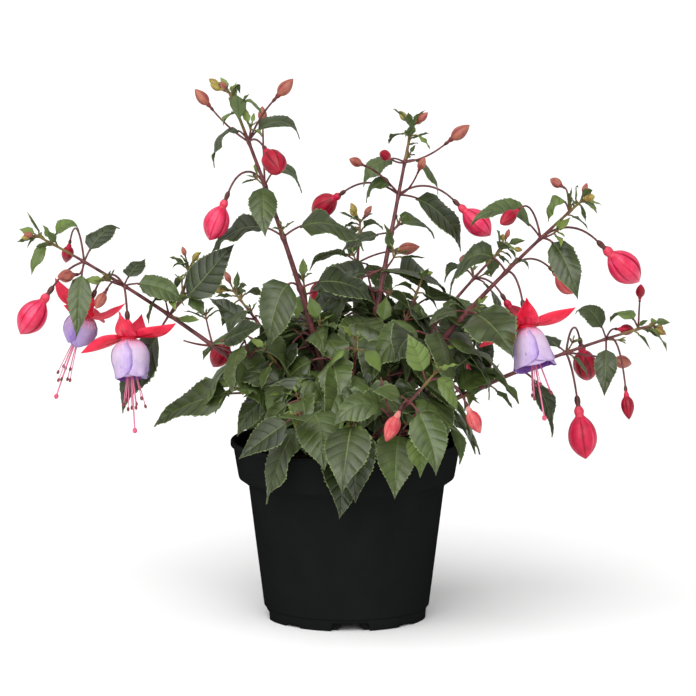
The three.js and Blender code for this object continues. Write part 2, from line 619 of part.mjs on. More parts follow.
// A leaf bends down by its own weight. It comes as one solid, or as the petiole and the blade that are tried
// against the neighbours with some spare.
function leafSolids(leaf, ease, bend, spare) {
  const length = leaf.length * ease;
  const petiole = (PETIOLE.plus + PETIOLE.share * leaf.length) * ease + leaf.clear;
  const path = bendingPath(leaf.start, leaf.direction, petiole + length, leaf.droop + bend);
  const from = petiole / (petiole + length);
  const side = new THREE.Vector3().crossVectors(path.along(from), leaf.up).normalize();
  const small = leaf.length < SMALL_LEAF;
  const { radius, thick, shares } = LEAF_SIZES.find(({ under }) => leaf.length < under);
  const rows = bladeRows(from, length * LEAF_WIDTH, thick, shares, spare);
  const deep = PETIOLE.depth * radius + spare;
  const stalk = [[0, radius, deep], ...(small ? [] : [[from, radius, deep]])];
  if (!spare) return keeledBar(path, side, [...stalk, ...rows], leaf.fold);
  const foot = [small ? SMALL_LEAF_FREE : from, radius + spare, deep];
  return {
    petiole: keeledBar(path, side, [0, from].map((t) => [t, radius + 2 * spare, deep]), PETIOLE.fold),
    blade: keeledBar(path, side, [foot, ...rows], leaf.fold),
  };
}

// Tries a leaf at each size and bend, and fuses the first that is clear of everything else
function addLeaf(mass, leaf) {
  for (const [ease, bend] of TRIES) {
    const tried = leafSolids(leaf, ease, bend, SPARE);
    if (!isClear(tried.blade) || !isClear(tried.petiole, (owner) => owner === mass.name)) continue;
    place(tried.blade, `${mass.name} blades`);
    place(tried.petiole, mass.name);
    mass.solids.push(leafSolids(leaf, ease, bend, 0));
    return;
  }
}

// A direction square to a path, turned from its side vector
function spread(path, across, turn) {
  return mixed([path.side, Math.cos(turn)], [across, Math.sin(turn)]);
}

// The direction in which a leaf leaves its stem, and the way its upper face looks
function leafAt(stem, path, node, sign, random) {
  const along = path.along(node.t);
  const across = new THREE.Vector3().crossVectors(path.side, along).normalize();
  const turn = (stem.roll + 90 * (node.k % 2) + between(-LEAF_TURN, LEAF_TURN, random())) * DEGREE;
  const out = spread(path, across, turn).multiplyScalar(sign);
  const share = between(TIP_LEAF, 1, Math.min(1, node.k / (stem.young ?? LEAF_NODES)) ** LEAF_POWER);
  const leaf = {
    start: path.at(node.t),
    out,
    direction: mixed([out, 1], [along, LEAF_SET.along], [UP, LEAF_SET.up]).normalize(),
    up: mixed([UP, LEAF_FACE.up], [along, LEAF_FACE.along], [out, LEAF_FACE.out]),
    length: stem.leaf * share * between(...LEAF_VARY, random()),
    droop: between(...(stem.droop ?? LEAF_DROOP), random()),
    fold: between(...LEAF_FOLD, random()),
    clear: stemRadius(stem, node.t),
  };
  const posed = stem.poses?.find(({ at, pair }) => at === node.k && pair === sign);
  if (!posed) return leaf;
  return {
    ...leaf,
    direction: heading(posed.toward, posed.rise),
    up: mixed([UP, LEAF_FACE.up], [FRONT, posed.face]),
    length: posed.length,
    droop: posed.droop,
  };
}

// A short side shoot from a leaf's axil, with one pair of young leaves
function addSideShoot(mass, stem, path, node, out, random) {
  const { set, leaf } = SIDE_SHOOT;
  const age = Math.min(1, SIDE_SHOOT.young + SIDE_SHOOT.older * node.k);
  const length = between(...SIDE_SHOOT.length, random()) * age + stemRadius(stem, node.t);
  const direction = mixed([out, set.out], [path.along(node.t), set.along], [UP, set.up]).normalize();
  const twig = bendingPath(path.at(node.t), direction, length, SIDE_SHOOT.droop);
  const turn = random() * Math.PI;
  const tip = twig.along(1);
  const across = new THREE.Vector3().crossVectors(twig.side, tip).normalize();
  const pair = [-1, 1].map((sign) => ({
    start: twig.at(leaf.at),
    direction: mixed([spread(twig, across, turn), sign * leaf.out], [tip, leaf.along]).normalize(),
    up: mixed([tip, 1], [UP, leaf.up]),
    length: between(...leaf.length, random()),
    droop: between(...leaf.droop, random()),
    fold: leaf.fold,
    clear: 0,
  }));
  const shape = (spare) => (
    limb(twig, 0, 1, SIDE_SHOOT.radius + spare, SIDE_SHOOT.radius + spare, SIDES.twig, 1)
  );
  const wide = shape(SPARE);
  if (!isClear(wide, (owner) => owner === mass.name)) return;
  place(wide, mass.name);
  mass.solids.push(shape(0));
  for (const each of pair) addLeaf(mass, each);
}

// The youngest leaves at the very tip of a stem
function addTip(mass, path, random) {
  const along = path.along(1);
  const across = new THREE.Vector3().crossVectors(path.side, along).normalize();
  for (let i = 0; i < 2; i++) {
    const turn = i * Math.PI + random();
    addLeaf(mass, {
      start: path.at(TIP_PAIR.at),
      direction: mixed([spread(path, across, turn), TIP_PAIR.out], [along, 1]).normalize(),
      up: along,
      length: between(...TIP_PAIR.length, random()),
      droop: between(...TIP_PAIR.droop, random()),
      fold: TIP_PAIR.fold,
      clear: 0,
    });
  }
}

// Boughs first, then every stem, then what hangs, then the leaves, so that each finds its place
const boughs = [];
const masses = [];
const grown = [];

function cutClear(solid) {
  return largest(grown.reduce((rest, other) => rest.subtract(other), solid));
}

place(potSolid(), "pot");
place(compostSolid(), "compost");
place(stumpSolid(0), "trunk");
grown.push(stumpSolid(CLEAR));

STEMS.forEach((stem, i) => {
  const path = stemPath(footOf(stem), stem.bend, stem.tip);
  const split = stem.bare / path.length;
  const mass = {
    name: `foliage_${stem.name}`,
    parts: [{ stem, path, lowest: stem.bare + LEAFLESS }],
    solids: [],
    random: randomFrom(i + 1),
  };
  const from = stem.bare ? split + CLEAR / path.length : 0;
  if (stem.bare) {
    const ends = [stem.girth, stemRadius(stem, split)];
    const shape = (spare) => limb(path, 0, split, ends[0] + spare, ends[1] + spare, SIDES.bough, 3);
    boughs.push({ name: `bough_${stem.name}`, solid: place(cutClear(shape(0)), `bough_${stem.name}`) });
    grown.push(shape(CLEAR));
  }
  const segments = Math.ceil(((1 - from) * path.length) / STEM_SEGMENT);
  const shape = (spare) => (
    limb(path, from, 1, stemRadius(stem, from) + spare, stemRadius(stem, 1) + spare, SIDES.stem, segments)
  );
  mass.solids.push(place(stem.bare ? shape(0) : cutClear(shape(0)), mass.name));
  if (!stem.bare) grown.push(shape(CLEAR));
  if (stem.branch) {
    const node = nodesOf(stem, path, 0)[stem.branch.at];
    const branchPath = stemPath(path.at(node.t), stem.branch.bend, stem.branch.tip);
    mass.parts.push({ stem: stem.branch, path: branchPath, lowest: LEAFLESS });
    const { girth } = stem.branch;
    mass.solids.push(place(limb(branchPath, 0, 1, girth, tipRadius(girth), SIDES.stem, 3), mass.name));
  }
  masses.push(mass);
});

for (const mass of masses) {
  for (const { stem, path } of mass.parts) {
    const nodes = nodesOf(stem, path, 0);
    for (const hang of stem.hangs) {
      const start = path.at(nodes[hang.at].t);
      const [wide, ...full] = hangSolids(hang, start, SPARE);
      if (!isClear(wide, (owner) => owner === mass.name) || !full.every((solid) => isClear(solid))) continue;
      const [thin, ...bloom] = hangSolids(hang, start, 0);
      place(thin, mass.name);
      for (const solid of bloom) place(solid, `${mass.name} blooms`);
      mass.solids.push(thin, ...bloom);
    }
  }
}

for (const mass of masses) {
  for (const { stem, path, lowest } of mass.parts) {
    addTip(mass, path, mass.random);
    for (const node of nodesOf(stem, path, lowest)) {
      for (const sign of [-1, 1]) {
        const leaf = leafAt(stem, path, node, sign, mass.random);
        const shoots = mass.random() < SIDE_SHOOT.share && node.k > 0 && !stem.young;
        addLeaf(mass, leaf);
        if (shoots) addSideShoot(mass, stem, path, node, leaf.out, mass.random);
      }
    }
  }
}

// Looks of the parts
const PLASTIC = new THREE.MeshStandardMaterial({ color: 0x1b1c1c, roughness: 0.5, metalness: 0 });
const PEAT = new THREE.MeshStandardMaterial({ color: 0x2b1d14, roughness: 0.95, metalness: 0 });
const BARK = new THREE.MeshStandardMaterial({ color: 0x6b4436, roughness: 0.8, metalness: 0 });
const LEAF = new THREE.MeshStandardMaterial({ color: 0x3f5530, roughness: 0.5, metalness: 0 });

const plant = new THREE.Group();

function add(name, solid, material) {
  const mesh = new THREE.Mesh(geometryOf(solid), material);
  mesh.name = name;
  plant.add(mesh);
}

add("pot", placed[0].solid, PLASTIC);
add("compost", placed[1].solid, PEAT);
add("trunk", placed[2].solid, BARK);
for (const bough of boughs) add(bough.name, bough.solid, BARK);
for (const mass of masses) add(mass.name, largest(joined(mass.solids)), LEAF);

export default plant;
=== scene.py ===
"""The looks of a potted fuchsia, built round its CAD solids.

The stems, leaves, buds and flowers grow by the same seeded rule as the solids, and are then drawn with
finer outlines and relief. The growth rule works in millimetres, and meshes are made in metres.
"""
import math
import random

import bpy
import numpy as np
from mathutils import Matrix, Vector, noise
from mathutils.kdtree import KDTree


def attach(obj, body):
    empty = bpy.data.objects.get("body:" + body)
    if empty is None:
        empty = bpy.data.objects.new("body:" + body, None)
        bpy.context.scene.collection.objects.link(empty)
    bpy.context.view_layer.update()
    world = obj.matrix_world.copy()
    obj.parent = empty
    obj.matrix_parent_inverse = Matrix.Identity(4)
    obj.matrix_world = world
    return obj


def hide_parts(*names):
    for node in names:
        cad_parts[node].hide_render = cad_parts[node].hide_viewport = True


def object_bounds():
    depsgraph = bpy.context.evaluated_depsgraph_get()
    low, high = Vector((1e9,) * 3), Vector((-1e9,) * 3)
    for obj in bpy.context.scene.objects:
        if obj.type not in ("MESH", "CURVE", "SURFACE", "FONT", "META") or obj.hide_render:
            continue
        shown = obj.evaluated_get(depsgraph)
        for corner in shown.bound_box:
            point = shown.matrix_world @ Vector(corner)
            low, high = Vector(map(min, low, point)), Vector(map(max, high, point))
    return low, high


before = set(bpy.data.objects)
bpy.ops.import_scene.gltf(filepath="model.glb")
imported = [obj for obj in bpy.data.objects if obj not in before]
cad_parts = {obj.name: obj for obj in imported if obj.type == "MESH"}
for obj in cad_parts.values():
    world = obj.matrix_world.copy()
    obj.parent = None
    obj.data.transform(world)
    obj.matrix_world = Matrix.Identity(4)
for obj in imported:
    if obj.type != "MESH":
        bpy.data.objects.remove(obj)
CAD_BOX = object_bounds()
MM = 0.001
ROUND = 2 * math.pi
UP = np.array([0.0, 0.0, 1.0])
FRONT = np.array([0.0, -1.0, 0.0])

# Driving dimensions of the pot and its filling
POT_RADIUS = 65.0
RIM_HEIGHT = 3.4
POT_HEIGHT = 100.4
POT_WALL = 1.2
RIM_FLANGE = 1.6
COLLAR_FOOT = (60.6, 79.4)
BODY_TOP = (54.9, 75.4)
BODY_FOOT = (46.4, 6.8)
FOOT_STEP = (45.3, 6.3)
FOOT_RADIUS = 45.0
FOOT_WALL = 1.8
FLOOR_UNDERSIDE = 4.8
FLOOR_TOP = 6.4
NOTCH = {"wide": 21.0, "high": 4.4}
FOOT_GAP = {"wide": 10.6, "high": 1.4}
NOTCH_TURN = 3.0
POT_SEGMENTS = 144
COMPOST_TOP = 84.0
COMPOST_EDGE_DROP = 1.6
CLEAR = 0.3
STUMP = {"flare": 11.0, "foot": 8.0, "top": 6.6, "height": 17.0, "lean": (1.2, -0.8)}
STEM_FOOT = {"level": (4.2, 11.0), "steep": (2.4, 3.0)}

# The growth rule
TIP_GAP = 0.35
GAP_POWER = 0.6
GAP_NODES = 3
LEAFLESS = 6.0
STEM_TIP = (0.34, 0.75)
TIP_LEAF = 0.33
LEAF_POWER = 0.8
LEAF_NODES = 4
LEAF_WIDTH = 0.62
LEAF_BELLY = (0.6, 1.1)
LEAF_TURN = 14.0
LEAF_VARY = (0.92, 1.06)
LEAF_SET = (0.42, 0.18)
LEAF_FACE = (0.75, 0.5, 0.15)
LEAF_FOLD = (-0.05, 0.22)
LEAF_DROOP = (1.0, 2.8)
PETIOLE = {"share": 0.2, "plus": 1.5}
TRIES = [(1, 0), (1, -0.8), (1, 0.9), (0.84, 0), (0.84, -0.9), (0.84, 1), (0.68, 0), (0.6, 1)]
SIDE_SHOOT = {"share": 0.18, "length": (8, 15), "young": 0.5, "older": 0.14, "radius": 0.7, "droop": -0.3}
SHOOT_SET = (0.75, 0.7, 0.2)
SHOOT_LEAF = {"at": 0.97, "out": 0.8, "along": 0.75, "up": 0.3, "length": (10.4, 15.6), "droop": (0.2, 1.0),
              "fold": 0.2}
SHOOT_TWIG = {"radii": (0.75, 0.5), "tuft": 0.5, "tuft_at": 0.96, "tuft_length": 2.5, "tuft_leaf": 6.5}
TIP_PAIR = {"at": 0.985, "out": 0.55, "length": (8, 12), "droop": (0.2, 1.1), "fold": 0.15}
STALK = (0.55, 0.15)
BLOOM_SUNK = 0.8
SEPAL = {"at": 15.0, "length": 29.0, "width": 0.42, "rise": -8.0, "droop": (-1.7, -0.7, -1.6, 0.15)}
STAMEN = {"at": 30.0, "length": (17.0, 27.0), "count": 8, "spread": 0.3, "droop": 0.2}
STYLE_LENGTH = 37.0
FOUND = 0.08  # how near a vertex of the solids has to be to a leaf's tip
SKIN_BY_SIZE = ((0.9, "pink"), (0.62, "red"), (0, "pale"))


# Parts of the plant that are listed one by one
def bud(at, toward, rise, stalk, droop, size, skin=""):
    skin = skin or next(name for least, name in SKIN_BY_SIZE if size > least)
    return {"open": False, "at": at, "toward": toward, "rise": rise, "stalk": stalk, "droop": droop,
            "size": size, "skin": skin}


def flower(at, toward, rise, stalk, droop, size, turn, corolla="bell"):
    return dict(bud(at, toward, rise, stalk, droop, size), open=True, turn=turn, corolla=corolla)


def pose(at, pair, toward, rise, length, droop, face, tint="", wide=1):
    """A leaf that is listed one by one. tint is one of the leaves' ages, such as deep: partly it follows the
    leaf's age, and partly it is painted shade, a darker tint on a leaf that lies in the crown's shade.
    """
    return {"at": (at, pair), "toward": toward, "rise": rise, "length": length, "droop": droop, "face": face,
            "tint": tint and f"leaf_{tint}", "wide": wide}


def stem(name, bend, tip, girth, bare, gap, leaf, roll, hangs=(), **more):
    return dict(name=name, bend=bend, tip=tip, girth=girth, bare=bare, gap=gap, leaf=leaf, roll=roll,
                hangs=hangs, **more)


# A posed leaf's tint is partly its age and partly painted shade: darker tints such as deep go on leaves that
# lie in the crown's shade.
STEMS = [
    stem("left", (-92, -11, 175), (-172, -18, 218), 2.3, 58, 30, 46, 45, [
        bud(1, 109, 68, 40, 1.5, 0.57, "red"), bud(1, 234, -74, 9, -1, 0.6), bud(1, 189, -13, 23, 1.2, 1.04),
        bud(2, 241, 43, 19, 1.3, 0.53), flower(2, 173, 63, 24, 2.1, 0.97, 0.5, "globe"),
        flower(2, 286, -35, 16, 2.5, 1, 0.3),
    ], branch=dict(stem("branch", (-91, 3, 178), (-88, 10, 196), 1.2, 0, 15, 40, 20, poses=[
        pose(1, -1, 316, 7, 16, 2.6, 0.5), pose(1, 1, 309, 75, 12, 1.7, 0.5),
        pose(2, -1, 218, 72, 31, 1.3, 1), pose(2, 1, 358, 44, 39, 0.5, 1, "deep"),
    ]), at=3), poses=[
        pose(0, -1, 348, 70, 19, 1.4, 0.4), pose(0, 1, 235, 5, 19, 2.3, 0.6, "fresh", 0.6),
        pose(1, -1, 44, 60, 26, 0.9, 0.6, "deep", 0.8), pose(1, 1, 262, -29, 36, 2.2, 1, "mid", 0.62),
        pose(2, -1, 62, 46, 19, 0.6, 0.6, "deep"), pose(2, 1, 352, 16, 29, 1, 0.9, "mid", 1.12),
        pose(3, -1, 171, -58, 50, 0.1, 0.45, "deep"), pose(3, 1, 340, -17, 13, 0.4, 0.4),
        pose(4, -1, 323, 27, 29, 0.1, 0.8), pose(4, 1, 337, -1, 42, 2.3, 1, "mid"),
        pose(5, -1, 355, -52, 21, 0.4, 0.8),
    ]),
    stem("upper_left", (-26, -12, 200), (-65, -30, 300), 2.6, 44, 31, 48, 90, [
        bud(1, 176, 31, 26, -0.5, 0.52), bud(1, 356, 67, 26, 0.5, 0.57), bud(2, 95, 43, 35, -1.5, 0.42),
        bud(1, 292, 22, 24, 0.8, 0.89), bud(2, 177, 63, 30, 2.1, 0.94),
    ], poses=[
        pose(0, -1, 305, 87, 16, 3, 1), pose(1, -1, 189, 62, 29, 2.9, 0.1), pose(1, 1, 5, 58, 30, 1.6, 0.2),
        pose(2, -1, 267, 16, 35, 2.3, 1, "mid", 0.82), pose(2, 1, 348, 68, 26, 2.1, 0.3),
        pose(3, -1, 175, 39, 38, 1.8, 0.5, "deep"), pose(3, 1, 358, 41, 43, 1.6, 0.6, "old"),
        pose(4, -1, 232, 46, 40, 3.9, 1, "old"), pose(4, 1, 352, 30, 38, 1.4, 0.9, "deep"),
    ]),
    stem("middle", (22, 16, 200), (37, 45, 273), 2.6, 48, 22, 46, 8, [
        bud(1, 3, 6, 25, -0.7, 0.6), bud(2, 219, 49, 30, 0.5, 0.44), bud(2, 144, 32, 40, 1.1, 0.88),
        bud(1, 244, 0, 18, -0.4, 0.5, "red"), bud(2, 306, 10, 23, -1.3, 0.4), bud(2, 352, 38, 35, 1.4, 0.94),
    ], poses=[
        pose(0, 1, 332, 32, 12, 2.1, 0.2), pose(1, -1, 202, 33, 26, 2, 0.3), pose(1, 1, 8, 31, 24, 2.2, 0.4),
        pose(2, -1, 200, 60, 22, 1.9, 0.5), pose(2, 1, 356, 0, 40, 1.7, 0.4),
        pose(3, -1, 184, -2, 25, 0.7, 0.3, "deep"), pose(3, 1, 31, 45, 27, 1.7, 0.5),
        pose(4, -1, 162, -5, 37, 0.4, 0.9, "deep"), pose(4, 1, 36, 6, 39, 0.9, 1, "deep"),
        pose(5, 1, 355, 16, 28, 0.5, 0.6, "deep"),
    ]),
    stem("upper_right", (60, -15, 174), (130, -35, 240), 2.5, 50, 32, 48, 45, [
        bud(0, 127, 85, 14, 1, 0.45), bud(1, 233, 72, 31, 1.1, 0.66), bud(1, 19, 37, 38, 1.4, 1.12),
        bud(2, 34, 41, 33, 1.3, 0.8, "blush"), flower(2, 300, 22, 25, 2.8, 1, 0.2, "flared"),
    ], poses=[
        pose(0, -1, 211, 72, 21, 2.3, 0.2), pose(0, 1, 357, 76, 15, 2.6, 0.5),
        pose(1, -1, 189, 57, 38, 1.4, 0.25, "mid"), pose(1, 1, 309, 12, 37, 3.1, 1, "old", 0.85),
        pose(2, -1, 181, 60, 41, 2.5, 0.7, "old"), pose(2, 1, 358, 67, 14, 1.7, 0.1),
        pose(3, -1, 211, 19, 20, 1, 0.5), pose(3, 1, 291, 10, 50, 1.7, 1, "old"),
    ]),
    stem("right", (86, 18, 138), (174, 30, 161), 2.3, 54, 28, 42, 45, [
        bud(0, 271, 73, 18, 0.5, 0.44, "red"), bud(1, 39, 65, 9, 1, 0.52, "red"),
        bud(1, 297, 35, 38, 4, 0.63), bud(2, 64, 72, 30, 1.6, 0.96, "red"), bud(2, 39, -9, 33, 0.1, 0.62),
        bud(2, 314, -54, 26, 2.1, 1.16, "crimson"),
    ], poses=[
        pose(0, -1, 141, 64, 20, 1.6, 0.4), pose(0, 1, 350, 27, 18, 1.8, 0.1),
        pose(1, -1, 187, 73, 23, 1.2, 0.6), pose(1, 1, 267, -30, 29, 1.3, 0.9, "old", 0.8),
        pose(2, -1, 128, 24, 18, 0.1, 0.6, "deep"), pose(2, 1, 29, -22, 16, 1.1, 0.6, "mid", 0.8),
        pose(3, -1, 117, 70, 15, 0.1, 0.8), pose(3, 1, 319, -6, 36, 2.9, 0.2, "deep", 0.6),
        pose(4, -1, 254, 48, 12, 3.1, 0.6), pose(4, 1, 339, 80, 24, 1.6, 0.8),
    ]),
    stem("front", (24, -84, 122), (48, -97, 154), 2, 36, 26, 40, 45, [
        bud(1, 191, 40, 6, 2.4, 0.7, "blush"), bud(0, 18, 35, 29, 2.3, 0.66, "blush"),
    ], young=2.5, fresh=2, poses=[
        pose(0, -1, 187, 74, 22, 0.3, 1, "fresh"), pose(0, 1, 337, 41, 22, 3, 1, "fresh"),
        pose(1, 1, 305, -21, 37, 1.7, 1, "mid"), pose(1, -1, 205, 37, 18, 0.6, 1),
    ]),
    stem("front_left", (-16, -38, 128), (-28, -70, 126), 1.8, 24, 20, 46, 35, young=1,
         droop=(1.6, 2.8), poses=[
        pose(0, -1, 182, -35, 33, 0, 0.9, "deep"), pose(0, 1, 271, -2, 39, 0.5, 1),
        pose(1, 1, 284, 25, 42, 2.3, 1, "mid"),
    ]),
    stem("front_middle", (2, -40, 126), (4, -74, 122), 1.8, 24, 20, 46, 15, young=1,
         droop=(1.8, 3), poses=[
        pose(0, -1, 264, 1, 46, 1.6, 1, "old"), pose(1, 1, 274, -13, 44, 2.2, 1, "deep"),
    ]),
    stem("front_right", (27, -36, 114), (36, -73, 117), 1.8, 24, 20, 48, 40, young=1,
         droop=(1.4, 2.6), poses=[
        pose(1, -1, 262, 11, 48, 2.5, 1, "mid"), pose(0, 1, 291, 14, 26, 2.1, 1),
    ]),
    stem("low_left", (-30, -10, 122), (-62, -20, 132), 1.8, 24, 24, 52, 40, young=1.5, poses=[
        pose(0, -1, 176, 2, 47, 0.8, 1, "old"), pose(0, 1, 264, 34, 20, 0.8, 0.4),
        pose(1, -1, 347, 39, 29, 1.2, 0.8, "deep"),
    ]),
    stem("low_right", (34, 0, 118), (66, -6, 126), 1.8, 28, 24, 48, 35, young=1.5, poses=[
        pose(0, -1, 98, -21, 18, 0.9, 0.8), pose(0, 1, 2, 58, 28, 1.2, 0.7),
    ]),
    stem("back_left", (-36, 46, 142), (-66, 92, 172), 2.2, 46, 28, 44, 45, [
        bud(1, 160, 20, 18, 2, 0.8), bud(2, 100, 20, 22, 2.4, 1),
    ], poses=[
        pose(1, -1, 158, 4, 24, 0, 1, "deep"),
    ]),
    stem("back_middle", (4, 54, 168), (8, 98, 212), 2.3, 52, 30, 46, 45, [
        bud(1, 10, 30, 20, 0.4, 0.6), bud(1, 150, 20, 18, 1.6, 0.8), flower(2, 60, -30, 18, 3, 1, 0.3),
        bud(2, 175, 10, 24, 2.4, 1),
    ]),
    stem("back_right", (46, 50, 160), (92, 92, 198), 2.2, 48, 30, 46, 45, [
        bud(1, 100, 40, 16, 0.6, 0.6), bud(1, 350, 15, 20, 1.8, 0.9), bud(2, 60, 0, 20, 2.6, 1),
    ]),
    stem("low_back_left", (-34, 32, 116), (-70, 72, 120), 1.8, 30, 26, 48, 35, young=1.5),
    stem("low_back_right", (30, 38, 116), (62, 80, 120), 1.8, 30, 26, 48, 35, young=1.5),
    stem("inner_upper_left", (-20, 8, 150), (-24, 2, 190), 1.8, 40, 24, 46, 20, young=2, poses=[
        pose(0, 1, 8, 20, 30, 1, 0.9, "deep"), pose(1, 1, 25, 50, 40, 1.2, 0.9, "deep"),
    ]),
    stem("inner_upper_right", (26, 2, 150), (42, 4, 190), 1.8, 40, 24, 46, 60, young=2),
    stem("inner_left", (-24, -12, 128), (-44, -26, 154), 1.6, 0, 22, 48, 60, young=1.5),
    stem("inner_front", (4, -22, 135), (5, -44, 163), 1.6, 0, 22, 50, 20, young=1.5),
    stem("inner_right", (28, -14, 130), (50, -26, 154), 1.6, 0, 22, 50, 50, young=1.5),
    stem("inner_back", (-6, 24, 130), (-12, 46, 160), 1.6, 0, 22, 48, 30, young=1.5),
]
# Which stems' leaves are joined into one piece
CROWNS = {
    "left": ("left", "low_left", "inner_left", "front_left", "inner_front", "upper_left"),
    "right": ("right", "low_right", "inner_right", "front_right", "front_middle", "front", "upper_right"),
    "middle": ("middle", "inner_upper_left", "inner_upper_right", "inner_back"),
    "back": ("back_left", "back_middle", "back_right", "low_back_left", "low_back_right"),
}


# Vectors, paths and repeatable numbers
def vec(p):
    return np.array(p, float)


def unit(v):
    return v / np.linalg.norm(v, axis=-1, keepdims=True)


def between(low, high, share):
    return low + (high - low) * share


def turned(side, along, angle):
    """A side vector that is turned about a direction."""
    return side * np.cos(angle) + unit(np.cross(side, along)) * np.sin(angle)


def random_from(seed):
    state = [seed * 7919 + 17]

    def draw():
        state[0] = state[0] * 48271 % 2147483647
        return state[0] / 2147483647
    return draw


class Path:
    """A line of evenly spaced points with one side vector."""

    def __init__(self, points, side):
        self.points = np.array(points)
        self.side = side
        self.steps = len(points) - 1
        self.length = float(np.linalg.norm(np.diff(self.points, axis=0), axis=1).sum())

    def at(self, t):
        place = np.clip(t, 0, 1) * self.steps
        i = np.minimum(np.floor(place).astype(int), self.steps - 1)
        share = np.asarray(place - i)[..., None]
        return self.points[i] * (1 - share) + self.points[i + 1] * share

    def along(self, t):
        step = 0.5 / self.steps
        return unit(self.at(np.minimum(t + step, 1)) - self.at(np.maximum(t - step, 0)))

    def outward(self, t, turn):
        """A direction square to the path at one place, turned about it."""
        return turned(self.side, self.along(t), turn)


def side_of(direction):
    side = np.cross(direction, UP)
    return vec((1, 0, 0)) if np.linalg.norm(side) < 0.05 else unit(side)


def stem_path(foot, bend, tip, steps=40, divisions=200):
    """A quadratic curve, as points that are evenly spaced along it."""
    bend, tip = vec(bend), vec(tip)

    def curve(u):
        return (1 - u) ** 2 * foot + 2 * u * (1 - u) * bend + u ** 2 * tip

    u = np.linspace(0, 1, divisions + 1)
    run = np.concatenate([[0], np.cumsum(np.linalg.norm(np.diff(curve(u[:, None]), axis=0), axis=1))])
    even = np.interp(np.linspace(0, run[-1], steps + 1), run, u)
    return Path(curve(even[:, None]), side_of(tip - foot))


def bending_path(start, direction, length, droop, steps=16):
    """Sets off in one direction and bends down evenly along its length."""
    share = (np.arange(steps) + 0.5)[:, None] / steps
    headings = unit(direction - UP * droop * share)
    points = start + np.concatenate([np.zeros((1, 3)), np.cumsum(headings, axis=0)]) * length / steps
    return Path(points, side_of(direction))


def rounded(outline, steps=5):
    """A smooth outline through the given points."""
    p = np.array([outline[0], *outline, outline[-1]], float)
    out = []
    for i in range(1, len(p) - 2):
        for s in np.arange(steps) / steps:
            out.append(0.5 * (2 * p[i] + (p[i + 1] - p[i - 1]) * s
                              + (2 * p[i - 1] - 5 * p[i] + 4 * p[i + 1] - p[i + 2]) * s ** 2
                              + (3 * p[i] - p[i - 1] - 3 * p[i + 1] + p[i + 2]) * s ** 3))
    return np.array([*out, p[-1]])


def humped(share, rising, falling):
    """Rises from nothing to one and falls to nothing again, by two powers."""
    peak = rising / (rising + falling)
    return share ** rising * (1 - share) ** falling / (peak ** rising * (1 - peak) ** falling)


def noise_round(heights, segments, radius, scale=1):
    """Noise on a round skin, by row and angle."""
    angles = np.arange(segments) / segments * ROUND
    places = [[(radius * math.cos(a), radius * math.sin(a), height) for a in angles] for height in heights]
    return np.array([[noise.noise(Vector(place) * scale) for place in row] for row in places])


# Meshes
def add_object(name, data):
    obj = bpy.data.objects.new(name, data)
    bpy.context.scene.collection.objects.link(obj)
    return obj


class Pile:
    """Points and faces in millimetres, gathered into one mesh. Each face has the name of its tint."""

    def __init__(self):
        self.points = []
        self.faces = []
        self.tints = []
        self.count = 0

    def add(self, points, faces, tint):
        points = np.asarray(points, float).reshape(-1, 3)
        self.points.append(points)
        base = self.count
        self.faces.extend([base + i for i in face] for face in faces)
        self.tints.extend(tint if isinstance(tint, list) else [tint] * len(faces))
        self.count += len(points)

    def make(self, name, slot, replaced=()):
        mesh = bpy.data.meshes.new(name)
        mesh.from_pydata(np.concatenate(self.points) * MM, [], self.faces)
        names = sorted(set(self.tints))
        for tint in names:
            mesh.materials.append(MATERIALS[tint])
        place = {tint: i for i, tint in enumerate(names)}
        mesh.polygons.foreach_set("material_index", [place[t] for t in self.tints])
        mesh.polygons.foreach_set("use_smooth", [True] * len(self.faces))
        mesh.validate()
        obj = add_object(name, mesh)
        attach(obj, "root")
        if replaced:
            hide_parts(*replaced)


def lattice(rows, columns, flip=False):
    """The faces of a ring of points repeated row by row."""
    faces = []
    for j in range(rows - 1):
        for i in range(columns):
            k = (i + 1) % columns
            quad = [j * columns + i, j * columns + k, (j + 1) * columns + k, (j + 1) * columns + i]
            faces.append(quad[::-1] if flip else quad)
    return faces


def tube(pile, centres, side, along, radii, tint, segments=8, shape=1.0):
    """A round skin about a line of centres, capped at both ends. shape scales the radius by row and angle."""
    rows = len(centres)
    sides, alongs = np.broadcast_to(side, (rows, 3)), np.broadcast_to(along, (rows, 3))
    angle = (np.arange(segments) / segments * ROUND)[None, :, None]
    r = np.asarray(radii)[:, None, None] * np.broadcast_to(shape, (rows, segments))[..., None]
    ring = centres[:, None] + r * turned(sides[:, None], alongs[:, None], -angle)
    points = np.concatenate([ring.reshape(-1, 3), centres[:1], centres[-1:]])
    faces = lattice(rows, segments, flip=True)
    foot, tip, last = rows * segments, rows * segments + 1, (rows - 1) * segments
    for i in range(segments):
        k = (i + 1) % segments
        faces.append([foot, i, k])
        faces.append([tip, last + k, last + i])
    if isinstance(tint, list):
        skin = [t if isinstance(t, str) else t[i] for t in tint for i in range(segments)]
        tint = skin + [skin[0], skin[-1]] * segments
    pile.add(points, faces, tint)


def path_tube(pile, path, radii, tint, segments=6, rows=8, end=1.0):
    t = np.linspace(0, end, rows)
    tube(pile, path.at(t), path.side, path.along(t), between(*radii, t / end), tint, segments)


def spun(pile, start, along, outline, tint, segments=24, shape=1.0):
    """An outline of distance and radius rows turned about an axis."""
    centres = start + along * outline[:, :1]
    tube(pile, centres, side_of(along), along, outline[:, 1], tint, segments, shape)


def knob(pile, centre, radius, along, stretch, tint, segments=8, rows=6):
    """A small egg-shaped end, such as an anther."""
    share = np.linspace(0, math.pi, rows)
    outline = np.stack([-np.cos(share) * radius * stretch, np.maximum(np.sin(share), 0.02) * radius], 1)
    spun(pile, centre, along, outline, tint, segments)


